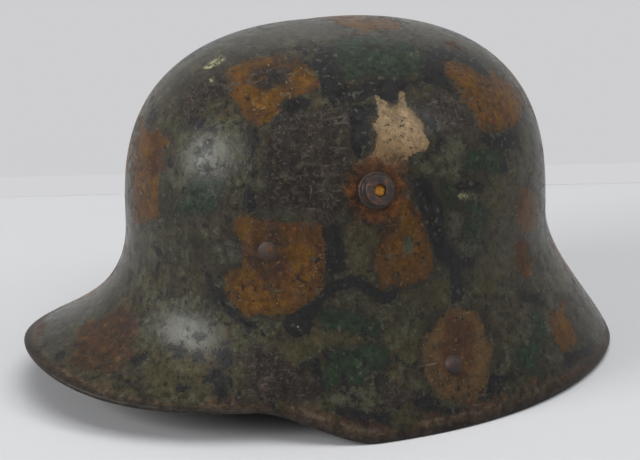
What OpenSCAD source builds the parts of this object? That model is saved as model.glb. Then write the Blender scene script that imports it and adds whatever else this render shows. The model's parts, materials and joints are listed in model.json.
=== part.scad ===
// Steel helmet of the 1916 pattern: a deep-drawn shell with a rolled edge, stepped vent lugs,
// a steel liner band with three padded leather flaps, and a leather chin strap on two posts.
// Millimetres, +Z up. The visor points to -Y and the wearer's left is +X.
// The origin is on the table, under the middle of the helmet.

/* [Dome] */
// Height of the crown above the table
crown_h = 171.6; // [164:0.2:180]
// Width of the dome at its waist
dome_w = 189.5; // [182:0.5:196]
// Dome centre to the front of the waist
dome_front = 105; // [100:0.5:110]
// Dome centre to the back of the waist
dome_back = 110.5; // [105:0.5:116]
// Height of the waist at the front
waist_front_z = 78.6; // [73:0.2:82]
// Height of the waist at the sides
waist_side_z = 66.6; // [61:0.2:71]
// Height of the waist at the back
waist_back_z = 76.6; // [71:0.2:80]
// Squareness of the dome's profile at the front, where 2 is an ellipse
dome_power_front = 2.7; // [2.3:0.05:3]
// Squareness of the dome's profile at the sides
dome_power_side = 2.45; // [2.2:0.05:2.8]
// Squareness of the dome's profile at the back
dome_power_back = 2.75; // [2.3:0.05:3]

/* [Visor and skirt] */
// Width across the visor, if it went on round the sides
visor_w = 210; // [202:1:218]
// Width across the skirt
skirt_w = 234; // [226:1:242]
// Rim centre to the front edge of the visor
visor_reach = 156; // [148:1:164]
// Rim centre to the back edge of the skirt
skirt_reach = 151; // [144:1:158]
// How far the dome centre lies behind the rim centre
dome_set = 4.5; // [2:0.5:8]
// Squareness of the rim in plan, where 2 is an ellipse
rim_power = 2.1; // [2:0.05:2.3]
// Height of the visor's edge at the front
visor_z = 24.6; // [18:0.2:30]
// Height of the visor's edge where the step down begins
visor_side_z = 16.6; // [12:0.2:20]
// How far the visor's edge sags between those two
visor_sag = 1.5; // [0:0.1:3]
// Angle from the front where the step down to the skirt begins
step_start = 65; // [60:1:70]
// Angle from the front where the step down ends
step_end = 86; // [80:1:92]
// How far the skirt's edge arches up between its lobes and its back
skirt_arch = 2; // [0:0.2:4]
// Slope of the visor at its edge, below level
visor_splay = 8; // [2:1:20]
// Slope of the skirt at its edge at the sides, below level
skirt_splay = 68; // [60:1:74]
// Slope of the skirt at its edge at the back, below level
back_splay = 65; // [58:1:72]
// Share of the drop that stays steep below the waist at the front
upper_hold_front = 0.44; // [0.36:0.01:0.5]
// Share of the drop that stays steep below the waist at the sides
upper_hold_side = 0.36; // [0.3:0.01:0.42]
// Share of the drop that stays steep below the waist at the back
upper_hold_back = 0.38; // [0.32:0.01:0.44]
// Share of the flare that runs straight to the edge at the front
edge_hold_front = 0.55; // [0.45:0.01:0.62]
// Share of the flare that runs straight to the edge at the sides
edge_hold_side = 0.36; // [0.28:0.01:0.44]
// Share of the flare that runs straight to the edge at the back
edge_hold_back = 0.28; // [0.22:0.01:0.36]

/* [Steel] */
// Thickness of the shell's steel
shell_t = 1.2; // [1:0.1:1.5]
// Radius of the rolled edge
roll_r = 1.4; // [1.3:0.1:1.8]
// How far the rolled edge is turned back up inside
roll_depth = 5; // [4:0.5:8]

/* [Vent lugs] */
// Angle of the vent lugs from the front
lug_angle = 85; // [80:0.5:92]
// Height of the vent lugs
lug_z = 115.8; // [110:0.2:122]
// Diameter of the lug's wide step
lug_base_d = 17.5; // [16:0.5:19]
// Height of the wide step above the shell
lug_base_h = 2.6; // [1.5:0.1:4]
// Diameter of the lug's tip
lug_tip_d = 13.8; // [12:0.2:15]
// Length of the tip beyond the wide step
lug_tip_h = 6; // [4:0.5:9]
// Diameter of the air hole through the lug
vent_d = 6; // [4:0.2:7]
// Diameter of the lug's shank in the shell
lug_shank_d = 11; // [10:0.2:11.8]
// Diameter of the hollow in the shank, whose wall is spread to make the collar
lug_tube_d = 8.4; // [7.6:0.2:9]
// Diameter of the lug's clinched collar inside the shell
lug_collar_d = 14.5; // [13.5:0.5:18]

/* [Liner] */
// Height of the liner pins and of the middle of the band
pin_z = 89; // [87:0.5:94]
// Angle of the two front liner pins from the front
pin_angle = 56; // [52:1:60]
// Diameter of a liner pin's head
pin_head_d = 10; // [8:0.5:12]
// Height of a liner pin's head
pin_head_h = 1.9; // [1.4:0.1:3]
// Diameter of a liner pin's shank
pin_d = 4; // [3.4:0.1:4.6]
// Length of each turned-out leg of a liner pin
pin_leg = 8; // [6:0.5:9]
// Diameter of the washers under the pins' legs
washer_d = 13; // [11:0.5:14]
// Thickness of the washers
washer_t = 0.8; // [0.6:0.1:1.2]
// Height of the liner band
band_h = 20; // [17:0.5:22]
// Thickness of the liner band
band_t = 0.8; // [0.6:0.1:1.2]
// Gap between the shell and the liner band
band_gap = 1.4; // [1.2:0.1:2.2]
// Thickness of the leather of the pads
leather_t = 1.6; // [1.2:0.1:2.2]
// Depth of the pads' inner face inside the shell, where they meet the head
pad_depth = 13.5; // [12:0.5:16]
// Depth of the pads' finger tips under the crown
tip_depth = 30; // [24:1:36]
// How far up the dome the fingers reach, as an angle above the waist
tip_rise = 66; // [56:1:70]
// Diameter of the pad rivets
pad_rivet_d = 2.4; // [2:0.1:3]
// Diameter of the pad rivets' heads
pad_rivet_head_d = 5.4; // [4.6:0.2:6]

/* [Chin strap] */
// Angle of the strap rivets from the front
strap_angle = 101.5; // [97:0.5:106]
// Height of the strap rivets
strap_z = 28.4; // [27:0.2:32]
// Diameter of a strap rivet's head
strap_rivet_d = 9.4; // [8:0.2:11]
// Height of a strap rivet's head
strap_rivet_h = 3; // [2:0.1:4]
// Diameter of the post's neck, on which the strap turns
neck_d = 5.6; // [5:0.1:6.4]
// Diameter of the post's head
post_head_d = 9.6; // [8.8:0.2:10.4]
// Width of the strap
strap_w = 16; // [13:0.5:18]
// Thickness of the strap's leather
strap_t = 1.8; // [1.4:0.1:2.2]
// Radius of the strap's bend under the chin
chin_r = 60; // [54:1:66]
// How far each side of the strap leans in
strap_lean = 25; // [22:1:28]
// Length of leather turned back from the end fitting
turn_back = 64; // [58:1:72]
// Distance of the buckles from the end fittings' bars
buckle_at = 36; // [32:1:40]

/* [Hidden] */
$fn = 48;

// Clearances: between a shank and its hole, between soft and hard faces, and round what turns or slides
hole_play = 0.1;
soft_gap = 0.35;
turn_play = 0.4;
slide_play = 0.3;
// Length of a cut that goes right through the liner's layers
drill = 8;

// Places that follow from the sizes
function roll_trim(splay) = roll_r * (cos(splay) + sin(splay) - 1);
rim_y = (visor_reach - roll_trim(visor_splay) - skirt_reach + roll_trim(back_splay)) / 2;
dome_y = rim_y + dome_set;

// The shell's surface is wall(a, s): a is the angle from the front towards the wearer's left,
// s runs from 0 at the crown through 1 at the waist to 2 at the edge.
function clip(t) = min(1, max(0, t));
function ease(t) = let (c = clip(t)) c * c * (3 - 2 * c);
function hump(t) = pow(sin(180 * clip(t)), 2);
function signed_pow(v, e) = sign(v) * pow(abs(v), e);
function by_angle(a, front, side, back, k = 1) =
    side + (front - side) * pow(max(cos(a), 0), k) + (back - side) * pow(max(-cos(a), 0), k);
function off_front(a) = a > 180 ? 360 - a : a;
function skirt_share(a) = ease((off_front(a) - step_start) / (step_end - step_start));
function splay(a) = by_angle(a, visor_splay, skirt_splay, back_splay);
function waist_z(a) = by_angle(a, waist_front_z, waist_side_z, waist_back_z, 1.5);
function dome_power(a) = by_angle(a, dome_power_front, dome_power_side, dome_power_back);
function waist(a) = [dome_w / 2 * sin(a), dome_y - (cos(a) > 0 ? dome_front : dome_back) * cos(a)];
function edge(a) =
    let (e = 2 / rim_power, half_w = (visor_w + (skirt_w - visor_w) * skirt_share(a)) / 2)
    [half_w * signed_pow(sin(a), e),
     rim_y - (cos(a) > 0 ? visor_reach : skirt_reach) * signed_pow(cos(a), e)];
// Height of the skirt's edge at which its roll just meets the table
function roll_z(a) = roll_r * (1 + cos(splay(a)) - sin(splay(a)));
function edge_z(a) =
    let (d = off_front(a),
         visor = visor_z + (visor_side_z - visor_z) * ease(d / step_start) - visor_sag * hump(d / step_start),
         skirt = roll_z(a) + skirt_arch * hump((d - 95) / 85))
    visor + (skirt - visor) * skirt_share(a);
// Slope line of the surface at its edge, pointing out and down
function edge_dir(a) =
    let (out = (edge(a) - waist(a)) / norm(edge(a) - waist(a)), b = splay(a))
    [out.x * cos(b), out.y * cos(b), -sin(b)];
function edge_handle(a) =
    by_angle(a, edge_hold_front, edge_hold_side, edge_hold_back)
    * norm([norm(edge(a) - waist(a)), waist_z(a) - edge_z(a)]);
function dome(a, s) =
    let (t = 90 * (1 - s), p = dome_power(a), r = pow(pow(cos(t), p) + pow(sin(t), p), -1 / p),
         w = waist(a), z = waist_z(a))
    [w.x * r * cos(t), dome_y + (w.y - dome_y) * r * cos(t), z + (crown_h - z) * r * sin(t)];
function flare(a, t) =
    let (w = waist(a), e = edge(a), z = waist_z(a), d = edge_dir(a),
         hold = by_angle(a, upper_hold_front, upper_hold_side, upper_hold_back) * (z - edge_z(a)),
         rim = [e.x, e.y, edge_z(a)])
    pow(1 - t, 3) * [w.x, w.y, z] + 3 * pow(1 - t, 2) * t * [w.x, w.y, z - hold]
    + 3 * (1 - t) * pow(t, 2) * (rim - d * edge_handle(a)) + pow(t, 3) * (rim - d * roll_r);
function wall(a, s) = s <= 1 ? dome(a, s) : flare(a, s - 1);
function outward(a, s) =
    s < 0.001 ? [0, 0, 1] :
    let (da = 0.2, ds = 0.002,
         n = cross(wall(a, min(2, s + ds)) - wall(a, max(0, s - ds)), wall(a + da, s) - wall(a - da, s)))
    n / norm(n);
function inside(a, s, depth) = wall(a, s) - depth * outward(a, s);

// The value of s at a height, exactly on the dome and by halving on the flare
function flare_at(a, z, low = 0, high = 1, left = 24) =
    let (mid = (low + high) / 2)
    left == 0 ? mid :
    flare(a, mid).z > z ? flare_at(a, z, mid, high, left - 1) : flare_at(a, z, low, mid, left - 1);
function wall_at(a, z) =
    let (zw = waist_z(a), p = dome_power(a), f = (z - zw) / (crown_h - zw))
    z > zw ? 1 - atan2(f, pow(1 - pow(f, p), 1 / p)) / 90 : 1 + flare_at(a, z);

// Faces between rings of k points each: round and round, with flat ends or closed into a hoop
function ring_faces(n, k, hoop = false) = concat(
    [for (i = [0:n - (hoop ? 1 : 2)], j = [0:k - 1], half = [0, 1])
        let (i2 = (i + 1) % n, j2 = (j + 1) % k)
        half == 0 ? [i * k + j, i2 * k + j, i2 * k + j2] : [i * k + j, i2 * k + j2, i * k + j2]],
    hoop ? [] : [[for (j = [0:k - 1]) j], [for (j = [k - 1:-1:0]) (n - 1) * k + j]]);

// Turns what is modelled on the XY plane to stand on the shell, with its own X pointing down the wall
module on_wall(a, z) {
    s = wall_at(a, z);
    n = outward(a, s);
    translate(wall(a, s)) rotate([0, acos(n.z), atan2(n.y, n.x)]) children();
}
module sunk(depth) { translate([0, 0, -depth]) children(); }
module dome_head(d, h) {
    r = (d * d / 4 + h * h) / (2 * h);
    intersection() {
        translate([0, 0, h - r]) sphere(r);
        cylinder(d = d, h = h);
    }
}

// Seats and holes of the fittings in the shell
lug_seat = 0.45;
pin_seat = 0.15;
strap_seat = 0.35;
pin_angles = [pin_angle, 180, 360 - pin_angle];
lug_angles = [lug_angle, 360 - lug_angle];
strap_angles = [strap_angle, 360 - strap_angle];
strap_shank_d = 5;

// Angles at which the shell is drawn: closer together round the step
half_angles = concat(
    [for (i = [0:9]) i * 6],
    [for (i = [0:13]) 60 + i * 2.5],
    [for (i = [0:15]) 95 + i * 85 / 15]);
shell_angles = concat(half_angles, [for (i = [len(half_angles) - 2:-1:1]) 360 - half_angles[i]]);
outer_dome_count = 12;
outer_flare_count = 12;
inner_dome_count = 9;
inner_flare_count = 8;
roll_count = 6;

// One meridian of the shell, from beside the crown outside to beside the crown inside
function meridian(a) =
    let (d = edge_dir(a), n = outward(a, 2), core = wall(a, 2) - roll_r * n,
         fold = 2 - roll_depth / (3 * edge_handle(a)), lap = fold - 0.6 / (3 * edge_handle(a)))
    concat(
        [for (i = [1:outer_dome_count]) wall(a, i / outer_dome_count)],
        [for (i = [1:outer_flare_count]) wall(a, 1 + i / outer_flare_count)],
        [for (i = [1:roll_count]) let (t = 180 * i / roll_count) core + roll_r * (cos(t) * n + sin(t) * d)],
        [inside(a, fold, 2 * roll_r)],
        [for (i = [inner_flare_count:-1:0]) inside(a, 1 + (lap - 1) * i / inner_flare_count, shell_t)],
        [for (i = [inner_dome_count - 1:-1:1]) inside(a, i / inner_dome_count, shell_t)]);

module shell_steel() {
    lines = [for (a = shell_angles) meridian(a)];
    n = len(lines);
    k = len(lines[0]);
    points = concat([for (l = lines) each l], [wall(0, 0), wall(0, 0) - [0, 0, shell_t]]);
    faces = concat(
        [for (i = [0:n - 1], j = [0:k - 2], half = [0, 1])
            let (i2 = (i + 1) % n)
            half == 0 ? [i * k + j, i2 * k + j, i2 * k + j + 1] : [i * k + j, i2 * k + j + 1, i * k + j + 1]],
        [for (i = [0:n - 1]) [n * k, ((i + 1) % n) * k, i * k]],
        [for (i = [0:n - 1]) [n * k + 1, i * k + k - 1, ((i + 1) % n) * k + k - 1]]);
    polyhedron(points, faces, convexity = 6);
}

// A hole square to the wall, with a flat seat round its mouth and, for a collar, another one inside
module seated_hole(d, seat_d, seat, collar_d = 0) {
    sunk(3 * shell_t) cylinder(d = d + hole_play, h = 6 * shell_t);
    sunk(seat) cylinder(d = seat_d + 2 * slide_play, h = 2);
    if (collar_d > 0) sunk(lug_collar_depth + 2) cylinder(d = collar_d + 2 * slide_play, h = 2);
}

module shell() {
    color("#4f4e3c") difference() {
        shell_steel();
        for (a = lug_angles) on_wall(a, lug_z) seated_hole(lug_shank_d, lug_base_d, lug_seat, lug_collar_d);
        for (a = pin_angles) on_wall(a, pin_z) seated_hole(pin_d, pin_head_d, pin_seat);
        for (a = strap_angles) on_wall(a, strap_z) seated_hole(strap_shank_d, strap_rivet_d, strap_seat);
    }
}

// Stepped hollow lug: wide step, tip, shank through the shell and a clinched collar inside
lug_tube_rise = 0.6;
lug_collar_t = 1.2;
lug_collar_depth = shell_t + 0.15;
lug_bevel = 0.7;
module vent_lug(a) {
    bore_r = vent_d / 2;
    tube_r = lug_tube_d / 2;
    top = lug_base_h + lug_tip_h;
    low = lug_collar_depth + lug_collar_t;
    color("#3f3328") on_wall(a, lug_z) rotate_extrude() polygon([
        [tube_r, -low],
        [lug_collar_d / 2 - lug_bevel, -low],
        [lug_collar_d / 2, -low + lug_bevel],
        [lug_collar_d / 2, -lug_collar_depth],
        [lug_shank_d / 2, -lug_collar_depth],
        [lug_shank_d / 2, -lug_seat],
        [lug_base_d / 2, -lug_seat],
        [lug_base_d / 2, lug_base_h - lug_bevel],
        [lug_base_d / 2 - lug_bevel, lug_base_h],
        [lug_tip_d / 2, lug_base_h],
        [lug_tip_d / 2, top - lug_bevel],
        [lug_tip_d / 2 - lug_bevel, top],
        [bore_r + lug_bevel, top],
        [bore_r, top - lug_bevel],
        [bore_r, lug_tube_rise + tube_r - bore_r],
        [tube_r, lug_tube_rise]]);
}
module vent_lug_left() { vent_lug(lug_angle); }
module vent_lug_right() { vent_lug(360 - lug_angle); }

// Depths of the liner's layers inside the shell's outer face
band_depth = shell_t + band_gap;
band_face = band_depth + band_t;
// The rear pin also goes through the band's lapped end
lap_gap = 0.1;
lap_step = band_t + lap_gap;
function washer_depth(a) = band_face + (a == 180 ? lap_step : 0) + 0.35;

// Split pin: a low domed head outside, a shank, and two legs turned flat over the washer
leg_w = 2.6;
leg_t = 1.1;
module liner_pin(a) {
    end = washer_depth(a) + washer_t + 0.05 + leg_t;
    color("#4a3a2c") on_wall(a, pin_z) {
        sunk(pin_seat) dome_head(pin_head_d, pin_head_h + pin_seat);
        sunk(end) cylinder(d = pin_d, h = end);
        for (side = [-1, 1]) sunk(end) {
            translate([side > 0 ? 0 : -pin_leg, -leg_w / 2, 0]) cube([pin_leg, leg_w, leg_t]);
            translate([side * pin_leg, 0, 0]) cylinder(d = leg_w, h = leg_t);
        }
    }
}
module liner_pins() { for (a = pin_angles) liner_pin(a); }
module pin_washers() {
    color("#6b6459") for (a = pin_angles) on_wall(a, pin_z) sunk(washer_depth(a) + washer_t) difference() {
        cylinder(d = washer_d, h = washer_t);
        translate([0, 0, -1]) cylinder(d = pin_d + 3 * hole_play, h = washer_t + 2);
    }
}

// The band is an open hoop whose last stretch laps inside the first, behind the head
lap_half = 9;
lap_ramp = 2;
band_rivet_off = 5.6;
band_rivet_d = 2.2;
band_rivet_head_d = 4;
band_rivet_head_h = 1;
pad_rivet_head_h = 1.4;
// Flat heads on the far side of the band's and the pads' rivets, and how far they stand off the band
flat_head_t = 0.6;
flat_head_off = 0.15;
lap_count = 6;
hoop_count = 64;
band_stations = concat(
    [for (i = [0:lap_count]) [180 - lap_half + i * 2 * lap_half / lap_count, 0]],
    [for (i = [1:hoop_count]) [180 + lap_half + i * (360 - 2 * lap_half - lap_ramp) / hoop_count, 0]],
    [for (i = [0:lap_count]) [540 - lap_half + i * 2 * lap_half / lap_count, lap_step]]);
pad_rivet_z = pin_z - band_h / 2 + 4;
// A point of the flat strip that touches the wall's slope at the height of the pins
function band_point(a, up, depth) =
    let (s = wall_at(a, pin_z), rise = wall(a, s - 0.002) - wall(a, s + 0.002))
    inside(a, s, depth) + up * rise / norm(rise);
module band_steel() {
    half_h = band_h / 2;
    rings = [for (st = band_stations) let (a = st[0] % 360, d = band_depth + st[1])
        [band_point(a, -half_h, d + band_t), band_point(a, half_h, d + band_t),
         band_point(a, half_h, d), band_point(a, -half_h, d)]];
    polyhedron([for (r = rings) each r], ring_faces(len(rings), 4), convexity = 6);
}
module liner_band() {
    color("#7a756a") difference() {
        band_steel();
        for (a = pin_angles) on_wall(a, pin_z) sunk(drill) cylinder(d = pin_d + 3 * hole_play, h = drill);
        for (a = [180 - band_rivet_off, 180 + band_rivet_off])
            on_wall(a, pin_z) sunk(drill) cylinder(d = band_rivet_d + hole_play, h = drill);
        for (a = pad_rivet_angles)
            on_wall(a, pad_rivet_z) sunk(drill) cylinder(d = pad_rivet_d + hole_play, h = drill);
    }
}
module band_rivets() {
    outer = band_depth - flat_head_off;
    inner = band_face + lap_step + 0.2;
    color("#8a8478") for (a = [180 - band_rivet_off, 180 + band_rivet_off]) on_wall(a, pin_z) {
        sunk(inner) cylinder(d = band_rivet_d, h = inner - outer);
        sunk(outer) cylinder(d = band_rivet_head_d, h = flat_head_t);
        sunk(inner) mirror([0, 0, 1]) dome_head(band_rivet_head_d, band_rivet_head_h);
    }
}

// Leather pads: each hangs from the band and splits into two fingers towards the crown
pad_margin = 7;
front_span = [-(pin_angle - pad_margin), pin_angle - pad_margin];
left_span = [pin_angle + pad_margin, 180 - lap_half - lap_ramp];
right_span = [360 - left_span[1], 360 - left_span[0]];
rivets_per_pad = 5;
rivet_inset = 6;
function pad_rivet_row(span) =
    [for (i = [0:rivets_per_pad - 1])
        span[0] + rivet_inset + (span[1] - span[0] - 2 * rivet_inset) * i / (rivets_per_pad - 1)];
pad_rivet_angles = concat(pad_rivet_row(front_span), pad_rivet_row(left_span), pad_rivet_row(right_span));
pad_root = band_face + soft_gap;
pad_low_z = pin_z - band_h / 2 - 2;
root_share = 0.12;
split_row = 6;
row_count = 18;
half_count = 8;
slit = 3;
// Depth of the pad's outer face along its length v, from its root to its finger tips
function pad_outer(v) =
    pad_root + (pad_depth - leather_t - pad_root) * ease((v - root_share) / 0.3)
    + (tip_depth - pad_depth) * ease((v - 0.35) / 0.65);
// Half the width of the slit between the fingers, and the drawing-in of each finger towards its round tip
function slit_half(row) = row <= split_row ? 0 : slit * (0.5 + (row - split_row) / (row_count - split_row));
function tip_share(row) =
    let (t = (row - split_row) / (row_count - split_row), from = 0.7)
    t < from ? 1 : sqrt(max(0.01, 1 - pow((t - from) / (1 - from), 2)));
function pad_angle(span, row, col) =
    let (mid = (span[0] + span[1]) / 2, side = col <= half_count ? -1 : 1,
         near = mid + side * slit_half(row), far = side < 0 ? span[0] : span[1],
         u = (side < 0 ? col : 2 * half_count + 1 - col) / half_count,
         straight = far + (near - far) * u, centre = (near + far) / 2)
    centre + (straight - centre) * tip_share(row);
function pad_s(a, v) = let (s0 = wall_at(a, pad_low_z)) s0 + (1 - tip_rise / 90 - s0) * v;
module pad(span) {
    cols = 2 * half_count + 2;
    layer = (row_count + 1) * cols;
    points = [for (back = [0, 1], row = [0:row_count], col = [0:cols - 1])
        let (v = row / row_count, a = pad_angle(span, row, col))
        inside(a, pad_s(a, v), pad_outer(v) + leather_t * back)];
    function at(back, row, col) =
        back * layer + row * cols + (row <= split_row && col == half_count + 1 ? half_count : col);
    function quad(p, q, r, t) = [[p, q, r], [p, r, t]];
    columns = [for (col = [0:cols - 2]) if (col != half_count) col];
    rows = [0:row_count - 1];
    end = row_count;
    last = cols - 1;
    slit_rows = [split_row:row_count - 1];
    near = half_count;
    far = near + 1;
    faces = concat(
        [for (i = rows, j = columns)
            each quad(at(0, i + 1, j), at(0, i + 1, j + 1), at(0, i, j + 1), at(0, i, j))],
        [for (i = rows, j = columns)
            each quad(at(1, i, j), at(1, i, j + 1), at(1, i + 1, j + 1), at(1, i + 1, j))],
        [for (j = columns) each quad(at(0, 0, j), at(0, 0, j + 1), at(1, 0, j + 1), at(1, 0, j))],
        [for (j = columns) each quad(at(1, end, j), at(1, end, j + 1), at(0, end, j + 1), at(0, end, j))],
        [for (i = rows) each quad(at(0, i + 1, 0), at(0, i, 0), at(1, i, 0), at(1, i + 1, 0))],
        [for (i = rows) each quad(at(0, i, last), at(0, i + 1, last), at(1, i + 1, last), at(1, i, last))],
        [for (i = slit_rows)
            each quad(at(0, i, near), at(0, i + 1, near), at(1, i + 1, near), at(1, i, near))],
        [for (i = slit_rows) each quad(at(0, i + 1, far), at(0, i, far), at(1, i, far), at(1, i + 1, far))]);
    color("#6e4a2c") difference() {
        polyhedron(points, faces, convexity = 6);
        for (a = pad_rivet_row(span))
            on_wall(a, pad_rivet_z) sunk(drill) cylinder(d = pad_rivet_d + hole_play, h = drill);
    }
}
module pad_front() { pad(front_span); }
module pad_left() { pad(left_span); }
module pad_right() { pad(right_span); }
module pad_rivets() {
    outer = band_depth - flat_head_off;
    inner = pad_root + leather_t + 0.25;
    color("#8a8478") for (a = pad_rivet_angles) on_wall(a, pad_rivet_z) {
        sunk(inner) cylinder(d = pad_rivet_d, h = inner - outer);
        sunk(outer) cylinder(d = pad_rivet_head_d, h = flat_head_t);
        sunk(inner) mirror([0, 0, 1]) dome_head(pad_rivet_head_d, pad_rivet_head_h);
    }
}

// Stuffed cushions between each pad and the shell: crowned, thin along the edges
stations = 26;
ring_count = 16;
cushion_low_v = 0.19;
cushion_high_v = 0.6;
cushion_inset = 4;
module cushion(span) {
    from = span[0] + cushion_inset;
    to = span[1] - cushion_inset;
    back_depth = band_face + soft_gap;
    rings = [for (i = [0:stations - 1])
        let (u = -1 + 2 * i / (stations - 1), a = (from + to) / 2 + (to - from) / 2 * u,
             full = pow(max(0.02, 1 - pow(abs(u), 5)), 0.5))
        [for (j = [0:ring_count - 1])
            let (t = 360 * j / ring_count,
                 v = (cushion_low_v + cushion_high_v) / 2
                     - (cushion_high_v - cushion_low_v) / 2 * signed_pow(cos(t), 0.7) * (0.85 + 0.15 * full),
                 thick = pad_outer(v) - soft_gap - back_depth,
                 depth = back_depth + thick / 2 * (1 + full * signed_pow(sin(t), 0.8)))
            inside(a, pad_s(a, v), depth)]];
    color("#b3a283")
        polyhedron([for (r = rings) each r], ring_faces(stations, ring_count), convexity = 4);
}
module cushion_front() { cushion(front_span); }
module cushion_left() { cushion(left_span); }
module cushion_right() { cushion(right_span); }

// Strap post: a boss riveted inside the skirt, with a neck across the helmet and a mushroom head
boss_d = 13;
boss_t = 3;
boss_gap = 0.55;
shank_in_boss = 1.8;
neck_in_boss = 2.2;
neck_length = 5.2;
neck_depth = shell_t + boss_gap + neck_in_boss;
strap_s = wall_at(strap_angle, strap_z);
neck_at = inside(strap_angle, strap_s, neck_depth);
hinge_y = neck_at.y;
hinge_z = neck_at.z;
plate_x = neck_at.x - neck_length;
plate_t = 1.5;
post_head_t = 2;
module strap_rivet(a) {
    depth = shell_t + boss_gap + shank_in_boss;
    color("#40342a") on_wall(a, strap_z) {
        sunk(strap_seat) dome_head(strap_rivet_d, strap_rivet_h + strap_seat);
        sunk(depth) cylinder(d = strap_shank_d, h = depth);
    }
}
module strap_rivet_left() { strap_rivet(strap_angle); }
module strap_rivet_right() { strap_rivet(360 - strap_angle); }
module strap_post(side) {
    head_x = plate_x - plate_t / 2 - turn_play;
    color("#5a5248") difference() {
        union() {
            on_wall(side > 0 ? strap_angle : 360 - strap_angle, strap_z)
                sunk(shell_t + boss_gap + boss_t) cylinder(d = boss_d, h = boss_t);
            translate([side * neck_at.x, hinge_y, hinge_z]) rotate([0, -side * 90, 0])
                cylinder(d = neck_d, h = neck_at.x - head_x + post_head_t / 2);
            translate([side * head_x, hinge_y, hinge_z]) rotate([0, -side * 90, 0])
                cylinder(d = post_head_d, h = post_head_t);
        }
        on_wall(side > 0 ? strap_angle : 360 - strap_angle, strap_z)
            sunk(shell_t + boss_gap + shank_in_boss + 0.05) cylinder(d = strap_shank_d + hole_play, h = 4);
    }
}
module strap_post_left() { strap_post(1); }
module strap_post_right() { strap_post(-1); }

// The strap lies in a plane through both posts: x across the helmet, y away from the posts.
// At rest its front edge just clears the table under the visor.
bar_d = 2.4;
wrap_r = bar_d / 2 + slide_play + strap_t / 2;
layer_gap = 0.4;
entry_d = post_head_d + 2 * turn_play;
keyhole_waist = 1.6;
plate_rim = 2.5;
entry_at = (neck_d + entry_d) / 2 + keyhole_waist;
plate_w = entry_d + 2 * plate_rim;
window_at = entry_at + entry_d / 2 + plate_rim;
bar_at = window_at + wrap_r + strap_t / 2 + slide_play;
side_dir = [cos(strap_lean), sin(strap_lean)];
leg_dir = [-sin(strap_lean), cos(strap_lean)];
bar_point = [plate_x, bar_at];
leg_start = bar_point - wrap_r * side_dir;
chin_y = leg_start.y - (chin_r - leg_start.x * cos(strap_lean)) / sin(strap_lean);
strap_reach = chin_y + chin_r + strap_t / 2;
table_gap = 0.3;
turn_start = 14;
strap_dip = asin((hinge_z - table_gap) / norm([strap_reach, strap_w / 2])) - atan2(strap_w / 2, strap_reach);
strap_half = concat(
    [for (i = [0:16]) let (q = 90 - (90 - strap_lean) * i / 16) [chin_r * cos(q), chin_y + chin_r * sin(q)]],
    [for (i = [0:12]) let (q = 180 + strap_lean + 180 * i / 12) bar_point + wrap_r * [cos(q), sin(q)]],
    [leg_start + (strap_t + layer_gap) * side_dir + turn_start * leg_dir,
     leg_start + (strap_t + layer_gap) * side_dir + turn_back * leg_dir]);
strap_line = concat([for (i = [len(strap_half) - 1:-1:1]) [-strap_half[i].x, strap_half[i].y]], strap_half);
function along(line, i) =
    let (d = line[min(i + 1, len(line) - 1)] - line[max(i - 1, 0)]) d / norm(d);
function beside(line, i, d) = let (t = along(line, i)) line[i] + d * [-t.y, t.x];
module in_strap() { translate([0, hinge_y, hinge_z]) rotate([180 + strap_dip, 0, 0]) children(); }

module chin_strap() {
    n = len(strap_line);
    color("#5b3d26") in_strap() linear_extrude(strap_w, center = true) polygon(concat(
        [for (i = [0:n - 1]) beside(strap_line, i, strap_t / 2)],
        [for (i = [n - 1:-1:0]) beside(strap_line, i, -strap_t / 2)]));
}

// End fitting: a keyhole plate that hooks over the post, with a barred window for the leather
arm_w = 2.2;
module strap_fitting(side) {
    window_w = strap_w + 1;
    color("#77716a") in_strap() {
        translate([side * plate_x, 0, 0]) rotate([0, -90, 0])
        linear_extrude(plate_t, center = true) difference() {
            union() {
                circle(d = plate_w);
                translate([-plate_w / 2, 0]) square([plate_w, window_at]);
                translate([-window_w / 2 - arm_w, window_at - 3]) square([window_w + 2 * arm_w, 3]);
                for (edge_side = [-1, 1])
                    translate([edge_side * (window_w + arm_w) / 2 - arm_w / 2, window_at - 1])
                        square([arm_w, bar_at - window_at + 1 + bar_d / 2]);
            }
            circle(d = neck_d + turn_play);
            translate([-(neck_d + turn_play) / 2, 0]) square([neck_d + turn_play, entry_at]);
            translate([0, entry_at]) circle(d = entry_d);
        }
        translate([side * plate_x, bar_at, 0]) cylinder(d = bar_d, h = window_w + 2 * arm_w, center = true);
    }
}
module strap_fitting_left() { strap_fitting(1); }
module strap_fitting_right() { strap_fitting(-1); }

// Sliding buckle: a sheet-steel loop round both layers of leather, with a roller on its outer side
buckle_l = 9;
buckle_t = 1.2;
roller_d = 3;
module strap_buckle(side) {
    inner_t = 2 * strap_t + layer_gap + 2 * slide_play;
    inner_w = strap_w + 2 * slide_play;
    middle = leg_start + (strap_t + layer_gap) / 2 * side_dir + buckle_at * leg_dir;
    color("#8a8478") in_strap() mirror([side > 0 ? 0 : 1, 0, 0])
        translate([middle.x, middle.y, 0]) rotate([0, 0, strap_lean]) {
            translate([0, buckle_l / 2, 0]) rotate([90, 0, 0]) linear_extrude(buckle_l) difference() {
                square([inner_t + 2 * buckle_t, inner_w + 2 * buckle_t], center = true);
                square([inner_t, inner_w], center = true);
            }
            translate([inner_t / 2 + buckle_t + roller_d / 2 - 0.5, 0, 0])
                cylinder(d = roller_d, h = inner_w, center = true);
        }
}
module strap_buckle_left() { strap_buckle(1); }
module strap_buckle_right() { strap_buckle(-1); }

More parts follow.
